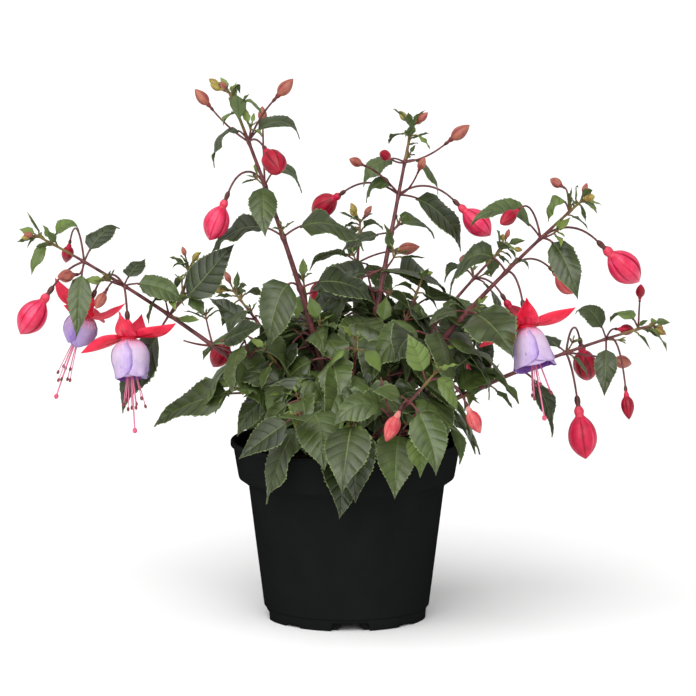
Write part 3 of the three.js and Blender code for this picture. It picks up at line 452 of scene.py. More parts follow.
def two_skins(pile, top, low, top_tint, low_tint, rim_tint, pointed=True):
    """Joins the two grids of a thin blade all round. The first and last rows of a pointed one are points."""
    rows, columns = top.shape[:2]
    grid = np.arange(rows * columns).reshape(rows, columns)
    if pointed:
        grid[0] = grid[0, 0]
        grid[-1] = grid[-1, 0]
    lines = [(grid[:, 0], False), (grid[:, -1], True)]
    if not pointed:
        lines += [(grid[0], True), (grid[-1], False)]
    faces, tints = [], []
    for layer, flip, tint in ((0, False, top_tint), (rows * columns, True, low_tint)):
        for j in range(rows - 1):
            for i in range(columns - 1):
                quad = [grid[j, i], grid[j, i + 1], grid[j + 1, i + 1], grid[j + 1, i]]
                quad = [int(q) + layer for n, q in enumerate(quad) if q != quad[n - 1]]
                faces.append(quad[::-1] if flip else quad)
                tints.append(tint[j * (columns - 1) + i] if isinstance(tint, list) else tint)
    layer = rows * columns
    for line, flip in lines:
        for a, b in zip(line.tolist(), line[1:].tolist()):
            quad = [a, b, b + layer, a + layer]
            faces.append(quad[::-1] if flip else quad)
            tints.append(rim_tint)
    pile.add(np.concatenate([top.reshape(-1, 3), low.reshape(-1, 3)]), faces, tints)


# Leaves
class Leaf:
    def __init__(self, start, direction, up, length, droop, fold, clear, tint="", wide=None):
        self.start, self.direction, self.up, self.length = start, direction, up, length
        self.droop, self.fold, self.clear, self.tint = droop, fold, clear, tint
        self.posed, self.wide = wide is not None, wide or 1

    def path(self, ease=1, bend=0):
        petiole = (PETIOLE["plus"] + PETIOLE["share"] * self.length) * ease + self.clear
        length = self.length * ease
        path = bending_path(self.start, self.direction, petiole + length, self.droop + bend)
        return path, petiole / (petiole + length), length


FULL_LEAF = 45.0
BIG_LEAF = 18.0
SIDE_VEINS = ((36, 7), (24, 6), (BIG_LEAF, 5), (0, 4))  # their count on a leaf over each length
VEIN_SWEEP = 0.6  # power that leads a side vein forward from the midrib to the margin
VEIN_BEND = 1.3
VEIN_ROWS = (0, 0.13, 0.4, 0.7, 0.9)  # rows of the mesh between one side vein and the next
VEIN_ROWS_SMALL = (0, 0.5)
ACROSS = np.array([-1, -0.965, -0.74, -0.48, -0.22, -0.032, 0.032, 0.22, 0.48, 0.74, 0.965, 1])
ACROSS_SMALL = np.array([-1, -0.92, -0.5, -0.06, 0.06, 0.5, 0.92, 1])
MARGIN, MIDRIB = 0.94, 0.03  # where across a blade the pale margin starts and the midrib ends
THIN = 0.3
SLENDER = (0.86, 1.02)  # a blade's width beside its solid's
YOUNG = {"under": 13.0, "narrow": 0.72}  # young leaves are narrower
POINT = {"from": 0.58, "narrow": 0.42, "power": 1.3}  # the blade's drawn-out tip
TOOTH = {"height": 0.08, "out": (0.4, 1.3), "in": -0.5}  # height as a share of the blade's half width
QUILT = {"swell": 1.44, "sunk": 0.6, "reach": 1.3}  # the skin between the side veins of a full-sized leaf
GROOVE = {"deep": 0.6, "wide": 0.1}
WAVE = {"high": (0.9, 2.8), "turns": (1, 2.4), "fade": 2.2}  # the margin's wave dies out towards both ends
CUP = (-0.3, 0.12)
CURL = {"most": 5.0, "from": 0.6}
SWAY = 0.07
TWIST = {"most": 0.75, "posed": 0.4}  # a posed leaf twists less
LEAF_STALK = {"radius": 0.42, "grows": 0.2, "foot": 1.15, "red": 16.0}
RIB = {"start": -0.02, "end": 0.8, "rows": 9, "tip": 0.12}
# Painted shade for the sunk side veins: each leaf tint's next darker tint
PAINTED_VEIN_SHADE = {"leaf_new": "leaf_fresh", "leaf_fresh": "leaf_mid", "leaf_mid": "leaf_old", "leaf_old": "leaf_deep",
          "leaf_deep": "leaf_shade"}


def curled(share):
    return np.clip((share - CURL["from"]) / (1 - CURL["from"]), 0, 1) ** 2


def leaf_tints(tint, big, across, between_veins):
    """Each face's tint: a pale margin and midrib, and on a big leaf painted shade, the next darker tint,
    along the sunk side veins.
    """
    tints = []
    rows = len(between_veins)
    for j in range(rows - 1):
        # painted shade: the faces on a sunk side vein take the next darker tint
        vein = big and between_veins[j] == 0 and j > 0
        skin = PAINTED_VEIN_SHADE[tint] if vein else tint
        for place in np.abs(across[:-1] + across[1:]) / 2:
            rib = place < MIDRIB and j < rows - 6
            tints.append("leaf_edge" if place > MARGIN else "rib" if rib else skin)
    return tints


def leaf_rows(length):
    """Where a blade's rows leave the midrib, and how far each lies from one side vein to the next."""
    veins = next(count for least, count in SIDE_VEINS if length > least)
    steps = VEIN_ROWS if length > BIG_LEAF else VEIN_ROWS_SMALL
    root = np.array([(v + f) / veins for v in range(veins) for f in steps] + [1.0])
    between_veins = np.array([f for _ in range(veins) for f in steps] + [0.0])
    return root, between_veins


def leaf_outline(edge, across, width, draw):
    """The blade's form by row, and its points' distance from the midrib. Every other row ends in a tooth."""
    drawn = np.clip((edge - POINT["from"]) / (1 - POINT["from"]), 0, 1) ** POINT["power"]
    form = (humped(np.clip(edge, 0, 1), *LEAF_BELLY) * (1 - POINT["narrow"] * drawn))[:, None]
    teeth = np.array([[draw.uniform(*TOOTH["out"]) if j % 2 else TOOTH["in"] for _ in range(2)]
                      for j in range(len(edge))])
    tooth = np.where(across < 0, teeth[:, :1], teeth[:, 1:]) * TOOTH["height"] * (np.abs(across) == 1)
    return form, across[None] * (width * form * (1 + tooth))


def leaf_relief(u, root, between_veins, size):
    """Side veins and midrib sink in the upper side, and the skin swells between them."""
    quilt = np.sin(math.pi * between_veins)[:, None] ** 0.5 - QUILT["sunk"]
    fade = np.sin(math.pi * root)[:, None] ** 0.5
    swell = size * QUILT["swell"] * quilt * u * (QUILT["reach"] - u) * fade
    return swell - size * GROOVE["deep"] * np.exp(-(u / GROOVE["wide"]) ** 2)


def draw_leaf(pile, stalks, leaf, ease, bend, draw):
    """A toothed blade that waves, curls and twists, on a petiole."""
    path, start, length = leaf.path(ease, bend)
    side = unit(np.cross(path.along(start), leaf.up))
    big, size = length > BIG_LEAF, length / FULL_LEAF
    across = ACROSS if big else ACROSS_SMALL
    root, between_veins = leaf_rows(length)
    width = 0.5 * length * LEAF_WIDTH * draw.uniform(*SLENDER) * leaf.wide
    width *= YOUNG["narrow"] if length < YOUNG["under"] else 1
    u = np.abs(across)[None]
    edge = root ** VEIN_SWEEP
    share = root[:, None] + (edge - root)[:, None] * u ** VEIN_BEND
    form, lateral = leaf_outline(edge, across, width, draw)
    high = draw.uniform(*WAVE["high"]) * size
    wave = high * np.sin(ROUND * (draw.uniform(*WAVE["turns"]) * share + draw.random()))
    wave = wave * np.where(across < 0, 1, draw.uniform(-1, 1))[None] * np.minimum(1, WAVE["fade"] * form)
    cup = draw.uniform(*CUP) * width * u ** 2 * form
    curl = -draw.uniform(0, CURL["most"]) * size * curled(share)
    relief = leaf_relief(u, root, between_veins, size)
    height = leaf.fold * np.abs(lateral) + relief + wave * u ** 2 + cup + curl
    sway = draw.uniform(-SWAY, SWAY) * length * share ** 2
    turn = draw.uniform(-TWIST["most"], TWIST["most"]) * (TWIST["posed"] if leaf.posed else 1) * share
    t = start + (1 - start) * share
    along = path.along(t)
    sideways = turned(side, along, turn[..., None])
    face = unit(np.cross(sideways, along))
    top = path.at(t) + sideways * (lateral + sway)[..., None] + face * height[..., None]
    thick = THIN * (0.6 + 0.4 * size) * np.where(u == 1, 0.35, 1.0)
    low = top - face * (thick * np.ones_like(lateral))[..., None]
    tints = leaf_tints(leaf.tint, big, across, between_veins)
    two_skins(pile, top, low, tints, "leaf_under", "leaf_edge")
    radius = LEAF_STALK["radius"] + LEAF_STALK["grows"] * size
    stalk_tint = "stem_red" if length > LEAF_STALK["red"] else "stem_green"
    path_tube(stalks, path, (radius * LEAF_STALK["foot"], radius), stalk_tint, 6, 6, start * 1.02)
    draw_midrib(stalks, path, start, side, radius, size, turn.mean(), sway[-1].mean(), curl[-1].mean())


def draw_midrib(stalks, path, start, side, radius, size, turn, sway, curl):
    """The midrib stands out below the blade, and follows its twist, sway and curl."""
    t = start + (1 - start) * np.linspace(RIB["start"], RIB["end"], RIB["rows"])
    along = path.along(t)
    run = np.linspace(0, RIB["end"], RIB["rows"])[:, None]
    across = turned(side, along, turn * 2 * run)
    below = GROOVE["deep"] * size + THIN - curl * curled(run)
    centres = path.at(t) + across * sway * run ** 2 - unit(np.cross(across, along)) * below
    tube(stalks, centres, across, along, np.linspace(radius, RIB["tip"], RIB["rows"]), "leaf_under", 5)


# The plant
stump_foot = vec((0, 0, COMPOST_TOP + CLEAR))
stump_top = stump_foot + vec((*STUMP["lean"], STUMP["height"]))
FACE_EASE = 0.7  # a thin blade stands more on edge than its solid


def foot_of(bend):
    lean = vec(bend) - stump_top
    steep = max(lean[2] / np.linalg.norm(lean), 0)
    (out_level, drop_level), (out_steep, drop_steep) = STEM_FOOT["level"], STEM_FOOT["steep"]
    out = unit(vec((lean[0], lean[1], 0))) * between(out_level, out_steep, steep)
    return stump_top + vec((out[0], out[1], -between(drop_level, drop_steep, steep)))


def nodes_of(stem, path, lowest):
    nodes, back, k = [], 0, 0
    while True:
        back += stem["gap"] * between(TIP_GAP, 1, min(1, k / GAP_NODES) ** GAP_POWER)
        if back > path.length - lowest:
            return nodes
        nodes.append((k, 1 - back / path.length))
        k += 1


def stem_radius(girth, t):
    share, least = STEM_TIP
    return between(girth, max(share * girth, least), t)


def heading(toward, rise):
    level, turn = math.cos(math.radians(rise)), math.radians(toward)
    return vec((level * math.cos(turn), level * math.sin(turn), math.sin(math.radians(rise))))


def leaf_at(stem, path, k, t, sign, draw):
    along = path.along(t)
    turn = math.radians(stem["roll"] + 90 * (k % 2) + between(-LEAF_TURN, LEAF_TURN, draw()))
    out = path.outward(t, turn) * sign
    share = between(TIP_LEAF, 1, min(1, k / stem.get("young", LEAF_NODES)) ** LEAF_POWER)
    length = stem["leaf"] * share * between(*LEAF_VARY, draw())
    droop = between(*stem.get("droop", LEAF_DROOP), draw())
    fold = between(*LEAF_FOLD, draw())
    direction = unit(out + along * LEAF_SET[0] + UP * LEAF_SET[1])
    up = UP * LEAF_FACE[0] + along * LEAF_FACE[1] + out * LEAF_FACE[2]
    posed = next((each for each in stem.get("poses", ()) if each["at"] == (k, sign)), {})
    if posed:
        direction = heading(posed["toward"], posed["rise"])
        up = UP * LEAF_FACE[0] + FRONT * posed["face"] * FACE_EASE
        length, droop = posed["length"], posed["droop"]
    return Leaf(path.at(t), direction, up, length, droop, fold, stem_radius(stem["girth"], t),
                posed.get("tint", ""), posed.get("wide")), out


class Crown:
    """What one stem's solid holds: the vertices tell which leaves found room in it."""

    def __init__(self, name):
        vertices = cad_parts[f"foliage_{name}"].data.vertices
        self.tree = KDTree(len(vertices))
        for i, vertex in enumerate(vertices):
            self.tree.insert(vertex.co / MM, i)
        self.tree.balance()

    def has(self, point):
        return self.tree.find(Vector(point))[2] < FOUND

    def fit(self, leaf):
        for ease, bend in TRIES:
            if self.has(leaf.path(ease, bend)[0].points[-1]):
                return ease, bend
        return (1, 0) if leaf.posed else None


AGES = {"new": 13.0, "fresh": 20.0}  # the length that a leaf of each age stays under
YOUNG_TINTS = ["leaf_fresh", "leaf_fresh", "leaf_mid"]
OLD_TINTS = ["leaf_mid", "leaf_mid", "leaf_old", "leaf_old", "leaf_deep"]


def age_tint(k, length, draw, fresh=1):
    """Leaves darken with age: yellow-green at a tip, deep green lower down."""
    if length < AGES["new"]:
        return "leaf_new"
    return draw.choice(YOUNG_TINTS if length < AGES["fresh"] or k < fresh else OLD_TINTS)


def add_leaf(crown, pile, stalks, leaf, k, draw, fresh=1):
    fit = crown.fit(leaf)
    if fit:
        aged = age_tint(k, leaf.length * fit[0], draw, fresh)
        # A posed leaf's own tint, partly painted shade, stands before the tint of its age
        leaf.tint = leaf.tint or aged
        draw_leaf(pile, stalks, leaf, *fit, draw)


SMALL_SHOOT = {"radii": (0.6, 0.42), "rise": 0.4, "vary": (0.8, 1.15), "droop": (0.1, 0.9), "ease": 0.9,
               "onward": 0.8, "up": 0.3}
# Where along a small shoot each pair of leaves stands, their length and how far they lean out
SMALL_PAIRS = ((0.86, 1.0, 0.8), (0.97, 0.55, 0.4))
NEWEST = 9.0  # a leaf under this length is yellow-green


def small_shoot(pile, stalks, start, direction, length, leaf_length, draw):
    """A tuft of four young leaves on a short shoot."""
    twig = bending_path(start, direction, length, -SMALL_SHOOT["rise"])
    path_tube(stalks, twig, SMALL_SHOOT["radii"], "stem_green", 6, 5)
    tip = twig.along(1.0)
    turn = draw.random() * math.pi
    for pair, (at, scale, lean) in enumerate(SMALL_PAIRS):
        for sign in (-1, 1):
            out = twig.outward(1.0, turn + pair * math.pi / 2) * sign
            young = leaf_length * scale * draw.uniform(*SMALL_SHOOT["vary"])
            leaf = Leaf(twig.at(at), unit(out * lean + tip * SMALL_SHOOT["onward"]),
                        tip + UP * SMALL_SHOOT["up"], young, draw.uniform(*SMALL_SHOOT["droop"]),
                        SHOOT_LEAF["fold"], 0, "leaf_new" if young < NEWEST else "leaf_fresh")
            draw_leaf(pile, stalks, leaf, SMALL_SHOOT["ease"], 0, draw)


HEART = {"centre": (2.0, 2.0, 146.0), "reach": (100.0, 86.0, 58.0)}  # where the crown is full


def inside_heart(point, ease=1.0):
    offset = (point - vec(HEART["centre"])) / vec(HEART["reach"])
    return float(np.linalg.norm(offset)) < ease and point[2] > POT_HEIGHT - 2


def within_reach(point):
    """Whether a point lies in the box of the solids."""
    low, high = (vec(corner) / MM for corner in CAD_BOX)
    return bool(np.all(point > low + 0.5) and np.all(point < high - 0.5))


TWIG = {"radii": (0.8, 0.5), "rise": 0.3, "vary": (0.85, 1.1), "face": (0.6, 0.55), "clear": 0.5,
        "onward": 0.3, "away": 0.6, "droop": (1.2, 2.8), "fold": (-0.05, 0.22), "ease": 1.1,
        "tuft": 0.35, "tuft_at": 0.97, "tuft_length": 2, "tuft_leaf": (5, 8)}
TWIG_PAIRS = ((0.5, 1.0), (0.92, 0.8))  # where along it each pair of leaves stands, and their length


def leafy_twig(pile, stalks, start, direction, length, leaf_length, draw):
    """A finer twig with two pairs of leaves that face outwards, kept inside the full part of the crown."""
    twig = bending_path(start, direction, length, -TWIG["rise"])
    if not inside_heart(twig.points[-1]):
        return
    path_tube(stalks, twig, TWIG["radii"], "stem_red")
    turn = draw.random() * math.pi
    for quarter, (t, scale) in enumerate(TWIG_PAIRS):
        for sign in (-1, 1):
            out = twig.outward(t, turn + quarter * math.pi / 2) * sign
            size = leaf_length * scale * draw.uniform(*TWIG["vary"])
            place = twig.at(t)
            away = unit(vec((place[0], place[1], 0)) + 1e-6)
            leaf = Leaf(place, unit(out + twig.along(t) * TWIG["onward"] + away * TWIG["away"]),
                        UP * TWIG["face"][0] + away * TWIG["face"][1], size, draw.uniform(*TWIG["droop"]),
                        draw.uniform(*TWIG["fold"]), TWIG["clear"])
            if inside_heart(leaf.path()[0].points[-1], TWIG["ease"]):
                leaf.tint = age_tint(2, size, draw)
                draw_leaf(pile, stalks, leaf, 1, 0, draw)
    if draw.random() < TWIG["tuft"]:
        small_shoot(pile, stalks, twig.at(TWIG["tuft_at"]), twig.along(1.0), TWIG["tuft_length"],
                    draw.uniform(*TWIG["tuft_leaf"]), draw)


TUFT = {"leaves": 7, "from": 0.99, "step": 0.01, "out": (0.5, 1), "onward": 0.7, "up": 0.3,
        "length": (6.5, 13), "droop": (0.2, 1.8)}
TUFT_BUDS = {"skins": ("green", "green", "pale"), "at": 0.985, "out": 0.8, "size": (0.25, 0.36), "length": 33,
             "stalk": (2.5, 6), "droop": 0.2, "radii": (0.45, 0.4), "sunk": 0.4, "tries": 5}
TUFT_TINTS = ["leaf_new", "leaf_fresh", "leaf_mid"]


def tip_cluster(pile, stalks, buds, line, draw):
    """A few small leaves and young buds crowded at a stem's end, kept within the solids' reach."""
    tip = line.along(1.0)
    for i in range(TUFT["leaves"]):
        out = line.outward(1.0, draw.random() * ROUND)
        aim = unit(out * draw.uniform(*TUFT["out"]) + tip * TUFT["onward"])
        leaf = Leaf(line.at(TUFT["from"] - TUFT["step"] * i), aim, tip + UP * TUFT["up"],
                    draw.uniform(*TUFT["length"]), draw.uniform(*TUFT["droop"]), SHOOT_LEAF["fold"], 0,
                    draw.choice(TUFT_TINTS))
        if within_reach(leaf.path()[0].points[-1]):
            draw_leaf(pile, stalks, leaf, 1, 0, draw)
    for skin in TUFT_BUDS["skins"]:
        for _ in range(TUFT_BUDS["tries"]):
            out = line.outward(1.0, draw.random() * ROUND)
            stalk = bending_path(line.at(TUFT_BUDS["at"]), unit(tip + out * TUFT_BUDS["out"]),
                                 draw.uniform(*TUFT_BUDS["stalk"]), TUFT_BUDS["droop"])
            size = draw.uniform(*TUFT_BUDS["size"])
            along = stalk.along(1.0)
            if within_reach(stalk.at(1.0) + along * TUFT_BUDS["length"] * size):
                path_tube(stalks, stalk, TUFT_BUDS["radii"], "stem_green", 6, 5)
                draw_bud(buds, stalk.at(1.0) - along * TUFT_BUDS["sunk"], along, size, skin)
                break


def add_side_shoot(crown, pile, stalks, stem, path, k, t, out, draw, fine):
    age = min(1, SIDE_SHOOT["young"] + SIDE_SHOOT["older"] * k)
    length = between(*SIDE_SHOOT["length"], draw()) * age + stem_radius(stem["girth"], t)
    direction = unit(out * SHOOT_SET[0] + path.along(t) * SHOOT_SET[1] + UP * SHOOT_SET[2])
    twig = bending_path(path.at(t), direction, length, SIDE_SHOOT["droop"])
    turn = draw() * math.pi
    tip = twig.along(1.0)
    leaves = []
    for sign in (-1, 1):
        aim = unit(twig.outward(1.0, turn) * sign * SHOOT_LEAF["out"] + tip * SHOOT_LEAF["along"])
        leaf_length = between(*SHOOT_LEAF["length"], draw())
        droop = between(*SHOOT_LEAF["droop"], draw())
        leaves.append(Leaf(twig.at(SHOOT_LEAF["at"]), aim, tip + UP * SHOOT_LEAF["up"], leaf_length, droop,
                           SHOOT_LEAF["fold"], 0))
    corners = [twig.at(1.0) + SIDE_SHOOT["radius"] * twig.outward(1.0, third * ROUND / 3)
               for third in range(3)]
    if not any(crown.has(corner) for corner in corners):
        return
    path_tube(stalks, twig, SHOOT_TWIG["radii"], "stem_red", 6, 6)
    for leaf in leaves:
        add_leaf(crown, pile, stalks, leaf, 1, fine)
    if fine.random() < SHOOT_TWIG["tuft"]:
        small_shoot(pile, stalks, twig.at(SHOOT_TWIG["tuft_at"]), tip, SHOOT_TWIG["tuft_length"],
                    SHOOT_TWIG["tuft_leaf"], fine)


def add_tip(crown, pile, stalks, path, draw, fine):
    along = path.along(1.0)
    for i in range(2):
        direction = unit(path.outward(1.0, i * math.pi + draw()) * TIP_PAIR["out"] + along)
        length = between(*TIP_PAIR["length"], draw())
        droop = between(*TIP_PAIR["droop"], draw())
        leaf = Leaf(path.at(TIP_PAIR["at"]), direction, along, length, droop, TIP_PAIR["fold"], 0)
        add_leaf(crown, pile, stalks, leaf, 0, fine)


# Stems
SLIM = 0.8  # a skin's radius beside its solid's, which is thicker for strength
STEM_END = (0.92, 0.8, 0.55)
STUMP_END = (0.99, 0.95, 0.86, 0.66)
NODE_SWELLING = {"wide": 0.42, "reach": 1.9}
STEM_ROW = 1.4
STEM_SEGMENTS = 10
BARK_ENDS = 0.75  # as a share of a stem's woody part
GREEN_FROM = 0.88  # as a share of its length
STEM_BARK = {"radius": 3.0, "stretch": 0.28, "young": 0.05, "old": 0.1}
STUMP_BARK = {"radius": 2.6, "stretch": 2.2, "finer": 2.6, "deep": 0.09, "sunk": 0.04}


def draw_stem(pile, path, girth, nodes, woody):
    """A stem that swells at its nodes, with more relief where it is woody."""
    rows = max(int(path.length / STEM_ROW), 12)
    t = np.linspace(0, 1, rows)
    run = t * path.length
    near = np.zeros(rows)
    for _, node in nodes:
        near = np.maximum(near, np.exp(-((t - node) * path.length / NODE_SWELLING["reach"]) ** 2))
    radii = stem_radius(girth, t) * SLIM * (1 + NODE_SWELLING["wide"] * near)
    radii[-3:] *= STEM_END
    old = np.clip(1 - run / max(woody, 1), 0, None)[:, None]
    bark = noise_round(run * STEM_BARK["stretch"], STEM_SEGMENTS, STEM_BARK["radius"])
    shape = 1 + (STEM_BARK["young"] + STEM_BARK["old"] * old) * bark
    tint = ["bark" if r < BARK_ENDS * woody else "stem_red" if s < GREEN_FROM else "stem_green"
            for r, s in zip(run[:-1], t[:-1])]
    tube(pile, path.at(t), path.side, path.along(t), radii, tint, STEM_SEGMENTS, shape)


def draw_stump(pile):
    """The woody foot, with ridges that run down into its flare."""
    rows, segments = 26, 40
    share = np.linspace(0, 1, rows)
    flare = (STUMP["flare"] - STUMP["foot"]) * (1 - share) ** 4
    radii = between(STUMP["foot"], STUMP["top"], share) + flare
    radii[-4:] *= STUMP_END
    heights = share * STUMP_BARK["stretch"]
    ridge = noise_round(heights, segments, STUMP_BARK["radius"])
    ridge += 0.5 * noise_round(heights, segments, STUMP_BARK["radius"], STUMP_BARK["finer"])
    shape = 1 + STUMP_BARK["deep"] * ridge - STUMP_BARK["sunk"]
    centres = stump_foot + (stump_top - stump_foot) * share[:, None]
    tube(pile, centres, vec((1, 0, 0)), UP, radii, "bark", segments, shape)


# Buds and flowers, as distance and radius rows from the stalk
BUD = [[0, 0.7], [0.8, 1.2], [2.2, 1.5], [3.8, 1.35], [4.8, 1.1], [5.8, 1.8], [7.4, 2.5], [8.8, 2.35],
       [9.8, 2.2], [11, 3.3], [13, 5.1], [16, 6.7], [19.5, 7.4], [22.5, 7.2], [25.5, 6], [28.2, 3.9],
       [30, 1.7], [31, 0.25]]
SMALL_BUD = [[0, 0.6], [1.5, 1.3], [4, 1.7], [6, 1.4], [7.2, 1.9], [9, 2.5], [10.4, 2.5], [13, 4.6],
             [17, 5.9], [21, 5.7], [25, 4.3], [28.6, 2.2], [31, 0.25]]
TUBE = [[0, 0.7], [0.8, 1.2], [2.4, 1.5], [4, 1.3], [5, 1.15], [6.2, 2], [8, 2.9], [9.6, 2.8], [11, 2.9],
        [13, 4.2], [15, 4.6], [16.6, 3.6], [17.6, 2.4]]
CORE = [[15, 1.2], [22, 2.4], [30, 1.7], [33, 0.3]]
# The petals' outline: just opening, open, and widest at its mouth
COROLLAS = {
    "globe": [[15, 2.4], [16.2, 4.6], [18, 7.2], [20.5, 9], [24, 9.9], [28, 9.3], [31, 7.6], [33.6, 5],
              [35, 3]],
    "bell": [[15, 2.4], [16.2, 4.6], [18, 7.2], [20.5, 9.3], [24, 10.5], [28, 10.4], [32, 9.5], [36, 9],
             [39, 9.4]],
    "flared": [[15, 2.4], [16.2, 4.4], [18, 6.3], [20.5, 7.7], [24, 8.9], [28, 9.8], [32, 10.6], [36, 11.5],
               [39, 12.3]],
}
OVARY_END = 4.9
BUD_NECK_END = 10.2
TUBE_NECK_END = 11.0
BIG_BUD = 0.7
BUD_SEGMENTS = 44
TUBE_SEGMENTS = 24
SEAM = {"bud": 0.13, "tube": 0.08, "sharp": 0.35, "rib": 0.3, "rib_wide": 0.2, "from": 0.3, "over": 0.25}
# Each bud's skin, seams, midribs and neck; the seam tint, darker than the skin, is painted shade along the
# grooves between the lobes
SKINS = {
    "pink": ("bud_pink", "bud_seam", "bud_rib", "bud_rose"),
    "crimson": ("bud_rib", "bud_seam", "bud_pink", "bud_rose"),
    "red": ("bud_red", "bud_dark", "bud_dark", "bud_rib"),
    "blush": ("bud_blush", "bud_rib", "bud_rose", "bud_white"),
    "pale": ("bud_pale", "bud_brown", "bud_pale", "bud_brown"),
    "green": ("bud_green", "stem_green", "bud_green", "bud_green"),
}


def lobed(rows, segments, depth):
    """Four long seams, deeper away from the stalk, as a scale of the radius."""
    angle = (np.arange(segments) - 0.5) / segments * ROUND
    seam = np.abs(np.cos(2 * angle)) ** SEAM["sharp"]
    rib = np.exp(-(np.sin(2 * angle) / SEAM["rib_wide"]) ** 2) * SEAM["rib"]
    deep = np.clip((np.linspace(0, 1, rows) - SEAM["from"]) / SEAM["over"], 0, 1)
    return 1 - depth * deep[:, None] * (1 - seam[None] - rib[None])


def draw_bud(pile, start, along, size, skin):
    outline = rounded(BUD if size > BIG_BUD else SMALL_BUD, 2)
    skin, seam, rib, neck = SKINS[skin]
    lobes = [skin] * BUD_SEGMENTS
    # painted shade: the face in each groove between the lobes takes the darker seam tint
    for quarter in range(4):
        lobes[BUD_SEGMENTS * (2 * quarter + 1) // 8] = seam
        lobes[BUD_SEGMENTS * quarter // 4] = rib
    tints = ["ovary" if distance < OVARY_END else neck if distance < BUD_NECK_END else lobes
             for distance in outline[:-1, 0]]
    shape = lobed(len(outline), BUD_SEGMENTS, SEAM["bud"])
    spun(pile, start, along, outline * size, tints, BUD_SEGMENTS, shape)


SEPAL_SKIN = {"rows": 20, "columns": 15, "belly": (0.5, 1.1), "thick": 0.6, "cup": -0.14, "wide": 1.06,
              "twist": 0.9, "ripple": 0.8, "ripples": 7, "groove": 0.24, "groove_wide": 0.12, "ridge": 0.12,
              "ridges": 16, "thin_edge": 0.6}
# How many rows at the root are red all over, and how many in these columns
SEPAL_ROOT = {"all": 4, "veins": 9, "columns": (5, 6, 9)}


def sepal_tint(row, column):
    if row < SEPAL_ROOT["all"] or (row < SEPAL_ROOT["veins"] and column in SEPAL_ROOT["columns"]):
        return "sepal_root"
    return "sepal_back" if column in (0, SEPAL_SKIN["columns"] - 2) else "sepal"


def draw_sepal(pile, path, side, twist, size, draw):
    """A pointed sepal along a path, with wavy edges and fine ridges, turned more and more to one side."""
    rows, columns, thick = SEPAL_SKIN["rows"], SEPAL_SKIN["columns"], SEPAL_SKIN["thick"]
    s = np.linspace(0, 1, rows)[:, None]
    u = np.linspace(-1, 1, columns)[None]
    width = SEPAL["length"] * SEPAL["width"] * size * SEPAL_SKIN["wide"]
    form = humped(s, *SEPAL_SKIN["belly"])
    lateral = 0.5 * width * form * u
    along = path.along(s[:, 0])
    sides = turned(side, along, twist * s)
    face = unit(np.cross(sides, along))
    ripple = draw.uniform(-SEPAL_SKIN["ripple"], SEPAL_SKIN["ripple"]) * np.sin(SEPAL_SKIN["ripples"] * s)
    height = SEPAL_SKIN["cup"] * width * u ** 2 * form + ripple * u ** 2
    height = height - SEPAL_SKIN["groove"] * np.exp(-(u / SEPAL_SKIN["groove_wide"]) ** 2)
    height = height + SEPAL_SKIN["ridge"] * np.cos(SEPAL_SKIN["ridges"] * u) * form
    top = path.at(s[:, 0])[:, None] + sides[:, None] * lateral[..., None] + face[:, None] * height[..., None]
    depth = thick * (1 - SEPAL_SKIN["thin_edge"] * u ** 4) * np.ones_like(lateral)
    low = top - face[:, None] * depth[..., None]
    tints = [sepal_tint(row, column) for row in range(rows - 1) for column in range(columns - 1)]
    two_skins(pile, top, low, tints, "sepal_back", "sepal_back")


PETAL = {"rows": 18, "columns": 15, "half_span": math.radians(66), "narrow_foot": 0.34, "opens": 2.2,
         "shorter": 2.0, "round_edge": 0.24, "round_power": 2.6, "overlap": 0.3, "crease": 0.2,
         "crease_wide": 0.08, "waves": 3.1, "thick": 0.28, "inside": -0.8}
RUFFLE = {"globe": 0.2, "bell": 0.5, "flared": 0.5}
PETAL_VEINS = (3, 5, 7, 9, 11)
# The row where the root and the flush end, on a vein and beside it
PETAL_ROOT = {"root": 1, "flush": 3, "vein_root": 2, "vein_flush": 5}
# How much deeper the lilac is towards the sides and the lower edge, in steps of the list
DEEPENS = {"aside": 3.1, "aside_power": 2.2, "down": 2.2, "open": 0.2, "closed": 2.4}
LILACS = ["petal_white", "petal_pale", "petal_mid", "petal_lilac", "petal", "petal_blue"]


def petal_tint(row, column, closed):
    """Pink veins run down from the collar into the pale part, and the sides and lower edge are deeper."""
    vein = column in PETAL_VEINS
    if row < PETAL_ROOT["vein_root" if vein else "root"]:
        return "petal_root"
    if row < PETAL_ROOT["vein_flush" if vein else "flush"]:
        return "petal_flush"
    middle = PETAL["columns"] / 2 - 1
    aside = DEEPENS["aside"] * (abs(column - middle) / middle) ** DEEPENS["aside_power"]
    down = DEEPENS["down"] * (row / (PETAL["rows"] - 1)) ** 2
    deep = int(aside + down + DEEPENS["closed" if closed else "open"])
    return LILACS[min(deep, len(LILACS) - 1)]


